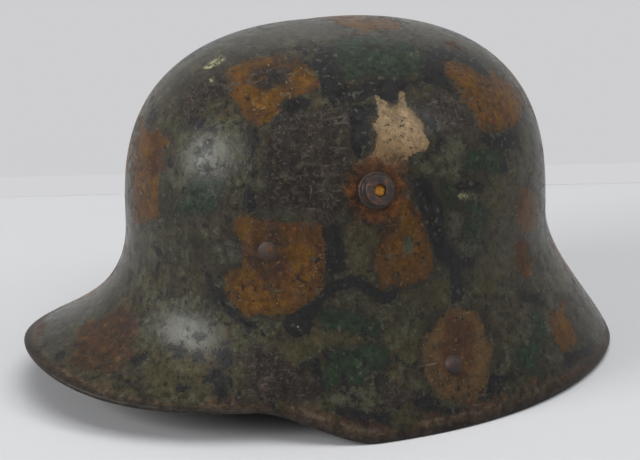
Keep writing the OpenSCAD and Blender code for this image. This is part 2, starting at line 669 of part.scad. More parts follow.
shell();
vent_lug_left();
vent_lug_right();
liner_pins();
pin_washers();
liner_band();
band_rivets();
pad_front();
pad_left();
pad_right();
cushion_front();
cushion_left();
cushion_right();
pad_rivets();
strap_rivet_left();
strap_rivet_right();
strap_post_left();
strap_post_right();
chin_strap();
strap_fitting_left();
strap_fitting_right();
strap_buckle_left();
strap_buckle_right();
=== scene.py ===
import json
import math
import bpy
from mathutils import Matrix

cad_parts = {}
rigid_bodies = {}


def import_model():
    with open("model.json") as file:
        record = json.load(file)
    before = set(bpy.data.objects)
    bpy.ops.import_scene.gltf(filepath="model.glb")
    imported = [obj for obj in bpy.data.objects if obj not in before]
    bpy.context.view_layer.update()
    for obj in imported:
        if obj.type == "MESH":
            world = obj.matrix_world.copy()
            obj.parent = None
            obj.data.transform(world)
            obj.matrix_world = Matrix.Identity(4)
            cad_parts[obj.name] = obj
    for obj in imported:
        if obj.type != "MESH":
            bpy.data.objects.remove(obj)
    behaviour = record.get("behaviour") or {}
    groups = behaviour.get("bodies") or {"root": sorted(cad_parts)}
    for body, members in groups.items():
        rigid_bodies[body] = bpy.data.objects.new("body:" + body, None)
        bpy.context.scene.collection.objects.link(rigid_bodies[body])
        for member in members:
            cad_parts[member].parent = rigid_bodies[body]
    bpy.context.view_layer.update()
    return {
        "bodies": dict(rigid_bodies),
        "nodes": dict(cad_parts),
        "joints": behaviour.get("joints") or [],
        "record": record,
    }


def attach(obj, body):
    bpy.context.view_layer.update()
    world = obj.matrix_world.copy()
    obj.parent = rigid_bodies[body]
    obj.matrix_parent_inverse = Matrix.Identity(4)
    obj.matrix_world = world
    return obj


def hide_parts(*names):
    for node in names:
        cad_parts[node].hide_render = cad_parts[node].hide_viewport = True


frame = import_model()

from types import SimpleNamespace

import bmesh
import bpy
import numpy as np
from bpy.props import FloatProperty, FloatVectorProperty, PointerProperty
from mathutils import Matrix, Vector
from mathutils.bvhtree import BVHTree

bl_info = {
    "name": "Steel helmet",
    "version": (1, 0, 0),
    "blender": (4, 5, 0),
    "location": "View3D > Sidebar > Helmet",
    "description": "Builds a worn steel helmet in hand-painted camouflage, with its liner and chin strap",
    "category": "Object",
}

MM = 0.001
PICTURE = (640, 460)
SENSOR = 36
TURN = 2 * math.pi


# Node trees

class Wire:
    """A node's output whose arithmetic adds Math nodes to its tree."""

    def __init__(self, graph, socket):
        self.graph = graph
        self.socket = socket

    def math(self, operation, *values):
        return self.graph.add("ShaderNodeMath", {"operation": operation}, dict(enumerate(values)))

    def __add__(self, other):
        return self.math("ADD", self, other)

    def __sub__(self, other):
        return self.math("SUBTRACT", self, other)

    def __rsub__(self, other):
        return self.math("SUBTRACT", other, self)

    def __mul__(self, other):
        return self.math("MULTIPLY", self, other)

    def __truediv__(self, other):
        return self.math("DIVIDE", self, other)

    def __rtruediv__(self, other):
        return self.math("DIVIDE", other, self)

    def __pow__(self, other):
        return self.math("POWER", self, other)

    def __neg__(self):
        return self * -1

    __radd__ = __add__
    __rmul__ = __mul__


class Graph:
    """A node tree in the making, of a material or of Geometry Nodes."""

    def __init__(self, tree):
        self.tree = tree

    def add(self, kind, settings=None, inputs=None, output=0):
        """Adds a node: settings first, then the values or wires of its sockets. Returns one output."""
        made = self.tree.nodes.new(kind)
        for name, value in (settings or {}).items():
            setattr(made, name, value)
        for name, value in (inputs or {}).items():
            if isinstance(value, Wire):
                self.tree.links.new(value.socket, made.inputs[name])
            else:
                made.inputs[name].default_value = value
        return Wire(self, made.outputs[output])

    def mix(self, factor, first, second, blend="MIX"):
        """Goes from the first colour to the second, or to the two blended, as factor goes from 0 to 1."""
        colours = [c if isinstance(c, Wire) else (*c, 1) for c in (first, second)]
        return self.add("ShaderNodeMix", {"data_type": "RGBA", "blend_type": blend},
                        {0: factor, 6: colours[0], 7: colours[1]}, 2)

    def noise(self, scale, detail=3.0, roughness=0.55, place=None, distortion=0.0):
        """Noise about one half, with scale in features to the metre."""
        inputs = {"Vector": place or self.place(), "Scale": scale, "Detail": detail, "Roughness": roughness,
                  "Distortion": distortion}
        return self.add("ShaderNodeTexNoise", {"normalize": True}, inputs)

    def place(self):
        if not hasattr(self, "object_place"):
            self.object_place = self.add("ShaderNodeTexCoord", output="Object")
        return self.object_place

    def stretched(self, turn, scale):
        """Object coordinates turned and then scaled unevenly."""
        return self.add("ShaderNodeMapping", {"vector_type": "POINT"},
                        {"Vector": self.place(), "Rotation": turn, "Scale": scale})

    def attribute(self, name):
        return self.add("ShaderNodeAttribute", {"attribute_name": name}, output="Fac")

    def specks(self, scale, share, size):
        """Round specks: share of the cells hold one, and size is its radius as a share of a cell."""
        cells = {"Vector": self.place(), "Scale": scale}
        reach = self.add("ShaderNodeTexVoronoi", {"feature": "F1"}, cells)
        colour = self.add("ShaderNodeTexVoronoi", {"feature": "F1"}, cells, "Color")
        chance = self.add("ShaderNodeSeparateColor", None, {0: colour})
        return greater(share, chance) * clip((size - reach) / (size * 0.4))


def rule(operation, array_function):
    """A function that works on numbers and arrays, and adds a Math node where a wire is among its values."""
    def apply(*values):
        wires = [v for v in values if isinstance(v, Wire)]
        return wires[0].math(operation, *values) if wires else array_function(*values)
    return apply


sine = rule("SINE", np.sin)
cosine = rule("COSINE", np.cos)
root = rule("SQRT", np.sqrt)
size_of = rule("ABSOLUTE", np.abs)
sign_of = rule("SIGN", np.sign)
smaller = rule("MINIMUM", np.minimum)
larger = rule("MAXIMUM", np.maximum)
greater = rule("GREATER_THAN", lambda a, b: (np.asarray(a) > b) * 1.0)


def clip(value):
    return smaller(larger(value, 0.0), 1.0)


def ease(value):
    c = clip(value)
    return c * c * (3 - 2 * c)


def hump(value):
    return sine(math.pi * clip(value)) ** 2


def signed_power(value, power):
    return sign_of(value) * size_of(value) ** power


# Sizes and colours that a user may change

def length(name, millimetres, description):
    return FloatProperty(name=name, description=description, default=millimetres * MM, subtype="DISTANCE",
                         unit="LENGTH", precision=4)


def plain(name, value, description):
    return FloatProperty(name=name, description=description, default=value)


def slope(name, degrees, description):
    return FloatProperty(name=name, description=description, default=math.radians(degrees), subtype="ANGLE",
                         unit="ROTATION")


def paint(name, colour, description):
    return FloatVectorProperty(name=name, description=description, default=colour, subtype="COLOR", size=3,
                               min=0, max=1)


class HELMET_PG_shell(bpy.types.PropertyGroup):
    """Sizes of the drawn steel shell."""
    crown_h: length("Crown height", 171.6, "Height of the crown above the table")
    dome_w: length("Dome width", 189.5, "Width of the dome at its waist")
    dome_front: length("Dome front", 105, "Dome centre to the front of the waist")
    dome_back: length("Dome back", 110.5, "Dome centre to the back of the waist")
    waist_front: length("Waist at the front", 78.6, "Height of the waist at the front")
    waist_side: length("Waist at the sides", 66.6, "Height of the waist at the sides")
    waist_back: length("Waist at the back", 76.6, "Height of the waist at the back")
    power_front: plain("Squareness at the front", 2.7, "Power of the dome's profile at the front")
    power_side: plain("Squareness at the sides", 2.45, "Power of the dome's profile at the sides")
    power_back: plain("Squareness at the back", 2.75, "Power of the dome's profile at the back")
    visor_w: length("Visor width", 210, "Width across the visor, if it went on round the sides")
    skirt_w: length("Skirt width", 234, "Width across the skirt")
    visor_reach: length("Visor reach", 156, "Rim centre to the front edge of the visor")
    skirt_reach: length("Skirt reach", 151, "Rim centre to the back edge of the skirt")
    rim_y: length("Rim centre", 2.6396, "How far the rim's centre lies behind the origin")
    dome_y: length("Dome centre", 7.1396, "How far the dome's centre lies behind the origin")
    rim_power: plain("Squareness of the rim", 2.1, "Power of the rim's plan")
    visor_z: length("Visor height", 24.6, "Height of the visor's edge at the front")
    visor_side_z: length("Visor end height", 16.6, "Height of the visor's edge where the step begins")
    visor_sag: length("Visor sag", 1.5, "How far the visor's edge sags between those two")
    step_start: slope("Step start", 65, "Angle from the front where the step down begins")
    step_end: slope("Step end", 86, "Angle from the front where the step down ends")
    skirt_arch: length("Skirt arch", 2, "How far the skirt's edge arches up")
    visor_splay: slope("Visor slope", 8, "Slope of the visor at its edge, below level")
    skirt_splay: slope("Skirt slope", 68, "Slope of the skirt at its edge at the sides")
    back_splay: slope("Back slope", 65, "Slope of the skirt at its edge at the back")
    upper_front: plain("Steep share, front", 0.44, "Share of the drop that stays steep at the front")
    upper_side: plain("Steep share, sides", 0.36, "Share of the drop that stays steep at the sides")
    upper_back: plain("Steep share, back", 0.38, "Share of the drop that stays steep at the back")
    edge_front: plain("Straight share, front", 0.55, "Share of the flare that runs straight at the front")
    edge_side: plain("Straight share, sides", 0.36, "Share of the flare that runs straight at the sides")
    edge_back: plain("Straight share, back", 0.28, "Share of the flare that runs straight at the back")
    steel: length("Steel", 1.2, "Thickness of the shell's steel")
    roll: length("Roll radius", 1.4, "Radius of the rolled edge")
    roll_depth: length("Roll depth", 5, "How far the rolled edge is turned back up inside")
    dents: length("Unevenness", 0.22, "How far the hand-worn surface strays from its true form")


class HELMET_PG_fittings(bpy.types.PropertyGroup):
    """Sizes and places of what is fixed to the shell."""
    lug_angle: slope("Lug angle", 85, "Angle of the vent lugs from the front")
    lug_z: length("Lug height", 115.8, "Height of the vent lugs")
    lug_base_d: length("Lug base", 17.5, "Diameter of the lug's wide step")
    lug_base_h: length("Lug base height", 2.6, "Height of the wide step above the shell")
    lug_tip_d: length("Lug tip", 13.8, "Diameter of the lug's tip")
    lug_tip_h: length("Lug tip length", 6, "Length of the tip beyond the wide step")
    vent_d: length("Air hole", 6, "Diameter of the air hole")
    tube_d: length("Lug hollow", 8.4, "Diameter of the hollow in the lug's shank")
    shank_d: length("Lug shank", 11, "Diameter of the lug's shank")
    collar_d: length("Lug collar", 14.5, "Diameter of the collar inside the shell")
    pin_angle: slope("Pin angle", 56, "Angle of the two front liner pins from the front")
    pin_z: length("Pin height", 89, "Height of the liner pins")
    pin_head_d: length("Pin head", 10, "Diameter of a liner pin's head")
    strap_angle: slope("Strap rivet angle", 101.5, "Angle of the strap rivets from the front")
    strap_z: length("Strap rivet height", 28.4, "Height of the strap rivets")
    strap_rivet_d: length("Strap rivet head", 9.4, "Diameter of a strap rivet's head")
    strap_rivet_h: length("Strap rivet height above the shell", 3, "Height of a strap rivet's head")


class HELMET_PG_paint(bpy.types.PropertyGroup):
    """Colours of the camouflage and of what shows through it."""
    field: paint("Field grey", (0.038, 0.0345, 0.019), "The factory coat, grown brown")
    olive: paint("Olive", (0.052, 0.0445, 0.021), "Faded olive")
    # Also the colour of the painted highlights on the brow and on the visor's flare
    island: paint("Grey green", (0.06, 0.06, 0.038), "Where the first coat is still fresh")
    green: paint("Dark green", (0.019, 0.032, 0.017), "Dark green patches")
    black: paint("Black", (0.012, 0.0125, 0.0125), "Black bands between the patches")
    ochre: paint("Ochre", (0.122, 0.0535, 0.005), "Ochre patches")
    tan: paint("Tan", (0.29, 0.2, 0.105), "Ochre bleached by light")
    rust: paint("Rust", (0.068, 0.026, 0.011), "Rust and rusty paint")
    bright_rust: paint("Bright rust", (0.21, 0.075, 0.016), "Fresh rust")
    bare: paint("Browned steel", (0.042, 0.033, 0.026), "Steel rubbed bare and browned")
    pale: paint("Pale dust", (0.16, 0.155, 0.125), "Dried dust and rubbed edges")


class HELMET_PG_stage(bpy.types.PropertyGroup):
    """The table, the light and the photograph's view."""
    azimuth: slope("Azimuth", 71.517, "Direction of the camera, round from the front")
    elevation: slope("Elevation", 19.979, "Height of the camera above the horizon")
    camera_distance: FloatProperty(name="Distance", description="Camera to the point it looks at",
                                   default=1.0918, subtype="DISTANCE", unit="LENGTH")
    camera_roll: slope("Roll", 1.287, "Turn of the camera about its line of sight")
    focal: FloatProperty(name="Focal length", description="Lens, for a 36 mm sensor", default=120.47,
                         subtype="DISTANCE_CAMERA", unit="CAMERA")
    target: FloatVectorProperty(name="Target", description="Point that the camera looks at",
                                default=(-0.00198, 0.00122, 0.0655), subtype="TRANSLATION", unit="LENGTH")
    table: paint("Table", (0.64, 0.645, 0.66), "Colour of the table")
    wall: paint("Wall", (0.62, 0.62, 0.635), "Colour behind the table")
    far_edge: length("Far edge", 257, "The helmet's middle to the table's far edge")
    ledge: length("Ledge", 13, "Height of the ledge along the table's far edge")
    wall_distance: length("Wall", 2400, "The helmet's middle to the wall behind the table")
    fill: plain("Fill", 0.17, "Strength of the light from all round")
    overhead: plain("Overhead light", 72.0, "Power of the light above, in watts")
    window: plain("Front window", 41.0, "Power of the light before the helmet, in watts")
    back_window: plain("Back window", 6.4, "Power of the light behind the helmet, in watts")


# The shell's surface

class ShellLaw:
    """The shell's outer face: a is the angle from the front towards the wearer's left, and s runs from 0 at the
    crown through 1 at the waist to 2 at the edge. It works on numbers, on arrays and on wires."""
    POLE = 0.001
    ARCH_START, ARCH_SPAN = math.radians(95), math.radians(85)
    TURN_STEP, DOWN_STEP = 0.003, 0.002

    def __init__(self, size):
        self.size = size

    def by_angle(self, a, front, side, back, power=1):
        ahead, behind = larger(cosine(a), 0.0), larger(-cosine(a), 0.0)
        if power != 1:
            ahead, behind = ahead ** power, behind ** power
        return side + (front - side) * ahead + (back - side) * behind

    def skirt_share(self, a):
        off_front = smaller(a, TURN - a)
        return ease((off_front - self.size.step_start) / (self.size.step_end - self.size.step_start))

    def splay(self, a):
        return self.by_angle(a, self.size.visor_splay, self.size.skirt_splay, self.size.back_splay)

    def waist(self, a):
        size = self.size
        reach = size.dome_back + (size.dome_front - size.dome_back) * greater(cosine(a), 0.0)
        z = self.by_angle(a, size.waist_front, size.waist_side, size.waist_back, 1.5)
        return size.dome_w / 2 * sine(a), size.dome_y - reach * cosine(a), z

    def edge(self, a):
        size = self.size
        power = 2 / size.rim_power
        half_w = (size.visor_w + (size.skirt_w - size.visor_w) * self.skirt_share(a)) / 2
        reach = size.skirt_reach + (size.visor_reach - size.skirt_reach) * greater(cosine(a), 0.0)
        off_front = smaller(a, TURN - a)
        splay = self.splay(a)
        along = off_front / size.step_start
        visor = size.visor_z + (size.visor_side_z - size.visor_z) * ease(along) - size.visor_sag * hump(along)
        arch = size.skirt_arch * hump((off_front - self.ARCH_START) / self.ARCH_SPAN)
        skirt = size.roll * (1 + cosine(splay) - sine(splay)) + arch
        z = visor + (skirt - visor) * self.skirt_share(a)
        return half_w * signed_power(sine(a), power), size.rim_y - reach * signed_power(cosine(a), power), z

    def dome(self, a, s):
        x, y, z = self.waist(a)
        t = math.pi / 2 * (1 - smaller(s, 1.0))
        power = self.by_angle(a, self.size.power_front, self.size.power_side, self.size.power_back)
        across, up = larger(cosine(t), 0.0), larger(sine(t), 0.0)
        reach = (across ** power + up ** power) ** (-1 / power)
        y = self.size.dome_y + (y - self.size.dome_y) * reach * across
        return x * reach * across, y, z + (self.size.crown_h - z) * reach * up

    def flare(self, a, t):
        size = self.size
        wx, wy, wz = self.waist(a)
        ex, ey, ez = self.edge(a)
        splay = self.splay(a)
        gap = root((ex - wx) ** 2 + (ey - wy) ** 2)
        direction = ((ex - wx) / gap * cosine(splay), (ey - wy) / gap * cosine(splay), -sine(splay))
        handle = self.handle(a)
        hold = self.by_angle(a, size.upper_front, size.upper_side, size.upper_back) * (wz - ez)
        shares = ((1 - t) ** 3, 3 * (1 - t) ** 2 * t, 3 * (1 - t) * t ** 2, t ** 3)
        corners = zip((wx, wy, wz), (wx, wy, wz - hold), (ex, ey, ez), direction)
        return tuple(
            shares[0] * first + shares[1] * second + shares[2] * (rim - way * handle)
            + shares[3] * (rim - way * size.roll) for first, second, rim, way in corners)

    def handle(self, a):
        size = self.size
        wx, wy, wz = self.waist(a)
        ex, ey, ez = self.edge(a)
        return (self.by_angle(a, size.edge_front, size.edge_side, size.edge_back)
                * root((ex - wx) ** 2 + (ey - wy) ** 2 + (wz - ez) ** 2))

    def wall(self, a, s):
        below = greater(s, 1.0)
        pairs = zip(self.dome(a, s), self.flare(a, clip(s - 1)))
        return tuple(upper + (lower - upper) * below for upper, lower in pairs)

    def point(self, a, s, depth=0.0):
        """A point under the outer face, as an array."""
        a, s = np.broadcast_arrays(np.asarray(a, float) % TURN, np.asarray(s, float))
        place = np.stack(self.wall(a, s), -1)
        return place - np.asarray(depth)[..., None] * self.outward(a, s)

    def outward(self, a, s):
        """The ways out of the face, from its slopes down and round it."""
        def at(angle, share):
            return np.stack(self.wall(angle % TURN, share), -1)
        down = at(a, np.minimum(s + self.DOWN_STEP, 2)) - at(a, np.maximum(s - self.DOWN_STEP, 0))
        normal = np.cross(down, at(a + self.TURN_STEP, s) - at(a - self.TURN_STEP, s))
        normal = np.where(np.asarray(s)[..., None] < self.POLE, (0.0, 0.0, 1.0), normal)
        return normal / np.linalg.norm(normal, axis=-1, keepdims=True)

    def at_height(self, a, z):
        """The value of s at a height, by halving."""
        low, high = np.zeros_like(np.asarray(a, float)), np.full_like(np.asarray(a, float), 2.0)
        for _ in range(40):
            middle = (low + high) / 2
            above = self.wall(a, middle)[2] > z
            low, high = np.where(above, middle, low), np.where(above, high, middle)
        return (low + high) / 2

    def seat(self, a, z):
        """Where a fitting sits: its own X points down the wall and its own Z points out."""
        a = np.asarray(a, float)
        s = self.at_height(a, z)
        out = Vector(self.outward(a, s))
        turn = Matrix.Rotation(math.atan2(out.y, out.x), 4, "Z") @ Matrix.Rotation(math.acos(out.z), 4, "Y")
        return Matrix.Translation(Vector(self.point(a, s))) @ turn


def shell_law():
    return ShellLaw(bpy.context.scene.helmet_shell)


# Geometry Nodes

class Recipe(Graph):
    """A Geometry Nodes tree with named inputs."""

    def __init__(self, name):
        super().__init__(bpy.data.node_groups.new(name, "GeometryNodeTree"))
        self.tree.interface.new_socket("Geometry", in_out="OUTPUT", socket_type="NodeSocketGeometry")
        self.source = self.tree.nodes.new("NodeGroupInput")
        self.sockets = {}

    def input(self, name, value, kind="Float"):
        socket = self.tree.interface.new_socket(name, in_out="INPUT", socket_type="NodeSocket" + kind)
        self.sockets[name] = (socket.identifier, value)
        return Wire(self, self.source.outputs[name])

    def mesh_input(self, name):
        self.tree.interface.new_socket(name, in_out="INPUT", socket_type="NodeSocketGeometry")
        return Wire(self, self.source.outputs[name])

    def vector(self, x, y, z):
        return self.add("ShaderNodeCombineXYZ", None, {0: x, 1: y, 2: z})

    def arithmetic(self, operation, *values):
        """Vector Math on wires and triples."""
        sockets = (0, "Scale" if operation == "SCALE" else 1)
        return self.add("ShaderNodeVectorMath", {"operation": operation}, dict(zip(sockets, values)))

    def choose(self, factor, first, second):
        """The first vector where factor is 0, the second where it is 1."""
        return self.add("ShaderNodeMix", {"data_type": "VECTOR"}, {0: factor, 4: first, 5: second}, 1)

    def chance(self, low, high, seed):
        return self.add("FunctionNodeRandomValue", {"data_type": "FLOAT"}, {2: low, 3: high, "Seed": seed}, 1)

    def way_out(self):
        """The way out of the surface that each point carries."""
        return self.add("GeometryNodeInputNamedAttribute", {"data_type": "FLOAT_VECTOR"}, {"Name": "out"})

    def at_index(self, index, value):
        return self.add("GeometryNodeFieldAtIndex", {"data_type": "FLOAT_VECTOR", "domain": "POINT"},
                        {"Index": index, "Value": value})

    def store(self, geometry, name, value):
        return self.add("GeometryNodeStoreNamedAttribute", {"data_type": "FLOAT", "domain": "POINT"},
                        {"Geometry": geometry, "Name": name, "Value": value})

    def finish(self, geometry, material):
        whole = self.add("GeometryNodeRealizeInstances", None, {"Geometry": geometry})
        coloured = self.add("GeometryNodeSetMaterial", None, {"Geometry": whole, "Material": material})
        sink = self.tree.nodes.new("NodeGroupOutput")
        self.tree.links.new(coloured.socket, sink.inputs["Geometry"])

    def grow(self, name, mesh=None):
        """Runs the tree on an object and returns that object with the result as a plain mesh."""
        made = link(name, mesh or bpy.data.meshes.new(name))
        modifier = made.modifiers.new("Recipe", "NODES")
        modifier.node_group = self.tree
        for identifier, value in self.sockets.values():
            modifier[identifier] = value
        return settle(made)


def link(name, data):
    made = bpy.data.objects.new(name, data)
    bpy.context.scene.collection.objects.link(made)
    return made


def settle(made):
    """Turns an object and its modifiers into one plain mesh."""
    ready = made.evaluated_get(bpy.context.evaluated_depsgraph_get())
    mesh = bpy.data.meshes.new_from_object(ready)
    made.modifiers.clear()
    made.data = mesh
    mesh.name = made.name
    return made


def shell_recipe(size, columns, outer_rows, roll_rows, inner_rows, material):
    """The shell as one closed sheet: down the outside, round the rolled edge and up the inside."""
    recipe = Recipe("Drawn shell")
    named = SimpleNamespace(**{key: recipe.input(annotation.keywords["name"], getattr(size, key))
                               for key, annotation in HELMET_PG_shell.__annotations__.items()})
    law = ShellLaw(named)
    tube = recipe.add("GeometryNodeMeshCylinder", {"fill_type": "NONE"},
                      {"Vertices": columns, "Side Segments": outer_rows + roll_rows + inner_rows, "Radius": 1.0,
                       "Depth": 2.0}, "Mesh")
    index = recipe.add("GeometryNodeInputIndex")
    row = index.math("FLOOR", (index + 0.5) / columns)
    column = index - row * columns
    inner = greater(row, outer_rows + roll_rows + 0.5)
    # Inside, the first row still has the roll's depth, and the next ones lie against the wall
    lead = 0.6 * MM
    step = row - (outer_rows + roll_rows + 1)
    first = greater(0.5, step)
    a = column * (TURN / columns)
    fold = 3 * law.handle(a)
    lap_s = 2 - (named.roll_depth + lead) / fold
    inner_s = lap_s * (1 - larger(step - 1, 0.0) / (inner_rows - 2)) + first * lead / fold
    outer_s = smaller(row * (2 / outer_rows), 2.0)
    s = outer_s + (inner_s - outer_s) * inner
    folded = recipe.add("GeometryNodeSetPosition", None,
                        {"Geometry": tube, "Position": recipe.vector(*law.wall(a, s))})
    position = recipe.add("GeometryNodeInputPosition")
    normal = recipe.add("GeometryNodeInputNormal")
    # The roll turns about a core that lies inside the last outer row
    rim = recipe.at_index(column + columns * outer_rows, position)
    above = column + columns * (outer_rows - 1)
    out = recipe.at_index(above, normal)
    away = recipe.arithmetic("NORMALIZE", recipe.arithmetic("SUBTRACT", rim, recipe.at_index(above, position)))
    swing = math.pi * (row - outer_rows) / roll_rows
    core = recipe.arithmetic("SUBTRACT", rim, recipe.arithmetic("SCALE", out, named.roll))
    lift = recipe.arithmetic("SCALE", out, named.roll * cosine(swing))
    reach = recipe.arithmetic("SCALE", away, named.roll * sine(swing))
    rolled = recipe.arithmetic("ADD", core, recipe.arithmetic("ADD", lift, reach))
    # Slight unevenness, none at the crown and the edge
    broad = recipe.noise(22.0, 1.0, 0.4, position) - 0.5
    close = recipe.noise(85.0, 2.0, 0.5, position) - 0.5
    stray = named.dents * (broad * 2 + close * 0.7) * clip((1.96 - s) * 8) * clip(s * 10)
    pole = greater(law.POLE, s)
    into = recipe.arithmetic("ADD", recipe.arithmetic("SCALE", (0.0, 0.0, -1.0), pole),
                             recipe.arithmetic("SCALE", normal, 1 - pole))
    depth = named.steel + first * (2 * named.roll - named.steel) - stray
    sunk = recipe.arithmetic("ADD", position, recipe.arithmetic("SCALE", into, depth))
    raised = recipe.arithmetic("ADD", position, recipe.arithmetic("SCALE", normal, stray * (1 - pole)))
    beside = recipe.choose(greater(row, outer_rows + 0.5), raised, rolled)
    marked = recipe.store(recipe.store(folded, "inside", inner), "down", s)
    shaped = recipe.add("GeometryNodeSetPosition", None,
                        {"Geometry": marked, "Position": recipe.choose(inner, beside, sunk)})
    closed = recipe.add("GeometryNodeMergeByDistance", None, {"Geometry": shaped, "Distance": 2e-6})
    recipe.finish(recipe.add("GeometryNodeSetShadeSmooth", None, {"Geometry": closed}), material)
    return recipe


# Finishes

class Finish(Graph):
    """A material with one Principled shader."""

    def __init__(self, name):
        self.material = bpy.data.materials.new(name)
        self.material.use_nodes = True
        self.material.node_tree.nodes.clear()
        super().__init__(self.material.node_tree)

    def shade(self, colour, roughness, metallic=0.0, height=None, **plain_values):
        """Ends the tree. Height is in millimetres, and plain_values are set on the shader's own sockets."""
        inputs = {"Base Color": colour if isinstance(colour, Wire) else (*colour, 1), "Roughness": roughness,
                  "Metallic": metallic}
        if height is not None:
            inputs["Normal"] = self.add("ShaderNodeBump", None, {"Strength": 1.0, "Distance": MM, "Height": height})
        inputs.update({key.replace("_", " "): value for key, value in plain_values.items()})
        shader = self.add("ShaderNodeBsdfPrincipled", None, inputs)
        sink = self.tree.nodes.new("ShaderNodeOutputMaterial")
        self.tree.links.new(shader.socket, sink.inputs["Surface"])
        return self.material


def between(value, low, high):
    """0 below low, 1 above high."""
    return clip((value - low) / (high - low))


def dimmed(colour, share):
    return tuple(c * share for c in colour)


def browned_steel(name, wear=0.5, rusted=0.45):
    """Old steel: browned, rubbed bright in places and freckled with rust."""
    colour, worn, rust = (0.055, 0.044, 0.035), (0.19, 0.165, 0.14), (0.11, 0.042, 0.016)
    finish = Finish(name)
    broad = finish.noise(60.0, 4.0, 0.6)
    close = finish.noise(420.0, 5.0, 0.65)
    rubbed = between(broad + (close - 0.5) * 0.5, 0.62 - 0.2 * wear, 0.8 - 0.2 * wear)
    rusty = between(finish.noise(95.0, 5.0, 0.7) + (close - 0.5) * 0.4, 0.66 - 0.3 * rusted, 0.78 - 0.3 * rusted)
    shade = finish.mix(rubbed * 0.8, colour, worn)
    shade = finish.mix(rusty * 0.9, shade, rust)
    shade = finish.mix(between(close, 0.55, 0.8) * 0.35, shade, (0.02, 0.016, 0.013))
    rough = 0.42 + rusty * 0.38 - rubbed * 0.08
    return finish.shade(shade, rough, 0.75 - rusty * 0.65, close * 0.05 + rusty * close * 0.1)


def ringed_steel(name, seats, colour, rings, share, rough, metal):
    """Painted steel on turned fittings. A ring is (start, end, colour, how much of it is left), in mm from the seat,
    and share is how much rust there is."""
    finish = Finish(name)
    off_axis = 1.0
    for seat in seats:
        off_axis = smaller(off_axis, finish.add("ShaderNodeVectorMath", {"operation": "DISTANCE"},
                                                {0: finish.place(), 1: tuple(seat.to_translation())}, "Value"))
    patchy = finish.noise(170.0, 4.0, 0.6)
    close = finish.noise(480.0, 5.0, 0.65)
    radius = off_axis / MM + (close - 0.5) * 2.4
    shade = finish.mix(between(patchy, 0.4, 0.6), dimmed(colour, 0.55), colour)
    for near, far, tone, left in rings:
        kept = between(radius, near - 0.2, near + 0.2) * between(radius, far + 0.2, far - 0.2)
        whole = between(close * 0.6 + patchy * 0.4, 0.62 - left * 0.2, 0.66 - left * 0.2)
        shade = finish.mix(kept * whole, shade, tone)
    rust = between(patchy * 0.5 + close * 0.5, 0.6 - share * 0.2, 0.64 - share * 0.2)
    shade = finish.mix(rust * 0.8, shade, finish.mix(between(close, 0.52, 0.62), (0.04, 0.018, 0.011),
                                                     (0.15, 0.055, 0.015)))
    shade = finish.mix(between(close, 0.46, 0.4) * 0.5, shade, (0.013, 0.011, 0.01))
    return finish.shade(shade, rough + (close - 0.5) * 0.5 + rust * 0.15, metal * (1 - rust) if metal else 0.0,
                        close * 0.12 + patchy * 0.08)


def old_leather(name, colour, dark, pale):
    """Vegetable-tanned leather with pores, creases and rubbed edges."""
    finish = Finish(name)
    broad = finish.noise(26.0, 4.0, 0.6)
    pores = finish.add("ShaderNodeTexVoronoi", {"feature": "F1"}, {"Vector": finish.place(), "Scale": 900.0})
    crease = finish.add("ShaderNodeTexVoronoi", {"feature": "DISTANCE_TO_EDGE"},
                        {"Vector": finish.stretched((0.3, 0.2, 0.5), (1.0, 1.0, 0.55)), "Scale": 320.0})
    cracks = (1 - clip(crease * 12)) * between(finish.noise(70.0, 4.0, 0.6), 0.5, 0.6)
    close = finish.noise(300.0, 4.0, 0.6)
    shade = finish.mix(between(broad, 0.36, 0.62), dark, colour)
    shade = finish.mix(between(broad + (close - 0.5) * 0.5, 0.6, 0.8) * 0.5, shade, pale)
    shade = finish.mix(cracks * 0.35, shade, dimmed(dark, 0.5))
    height = clip(pores * 1.6) * 0.05 - cracks * 0.08 + close * 0.05
    return finish.shade(shade, 0.62 - between(broad, 0.45, 0.7) * 0.14, 0.0, height)


def coarse_linen(name):
    """Natural linen in a plain weave, soiled by wear."""
    finish = Finish(name)
    warp, weft = (finish.add("ShaderNodeTexWave", {"wave_type": "BANDS", "bands_direction": way},
                             {"Vector": finish.place(), "Scale": 190.0, "Distortion": 1.2, "Detail": 1.0})
                  for way in "XZ")
    threads = warp * weft
    soil = finish.noise(30.0, 4.0, 0.6)
    shade = finish.mix(between(soil, 0.4, 0.7), (0.4, 0.33, 0.225), (0.22, 0.165, 0.1))
    shade = finish.mix(threads * 0.3, shade, (0.5, 0.43, 0.31))
    return finish.shade(shade, 0.92, 0.0, threads * 0.16, Sheen_Weight=0.2)


# Fittings, liner and strap: shapes

def skin(shape, rings):
    """Joins each ring of points to the next with faces."""
    for below, above in zip(rings, rings[1:]):
        for i in range(len(below)):
            j = (i + 1) % len(below)
            corners = list(dict.fromkeys((below[i], below[j], above[j], above[i])))
            if len(corners) > 2:
                shape.faces.new(corners)


def lathe(name, profile, columns, seat=Matrix(), closed=False):
    """Turns a profile of (radius, height), given with the air on its right, about the seat's Z axis."""
    shape = bmesh.new()
    turns = [TURN * i / columns for i in range(columns)]
    rings = []
    for radius, height in profile:
        if radius < 1e-7:
            rings.append([shape.verts.new(seat @ Vector((0, 0, height)))] * columns)
        else:
            rings.append([shape.verts.new(seat @ Vector((radius * math.cos(t), radius * math.sin(t), height)))
                          for t in turns])
    skin(shape, rings + (rings[:1] if closed else []))
    return mesh_of(name, shape)


def mesh_of(name, shape):
    bmesh.ops.recalc_face_normals(shape, faces=shape.faces)
    for face in shape.faces:
        face.smooth = True
    mesh = bpy.data.meshes.new(name)
    shape.to_mesh(mesh)
    shape.free()
    return mesh


def arc(centre, radius, start, end, count):
    """Points on an arc from start to end, in degrees, both included."""
    angles = [math.radians(start + (end - start) * i / count) for i in range(count + 1)]
    return [(centre[0] + radius * math.cos(t), centre[1] + radius * math.sin(t)) for t in angles]


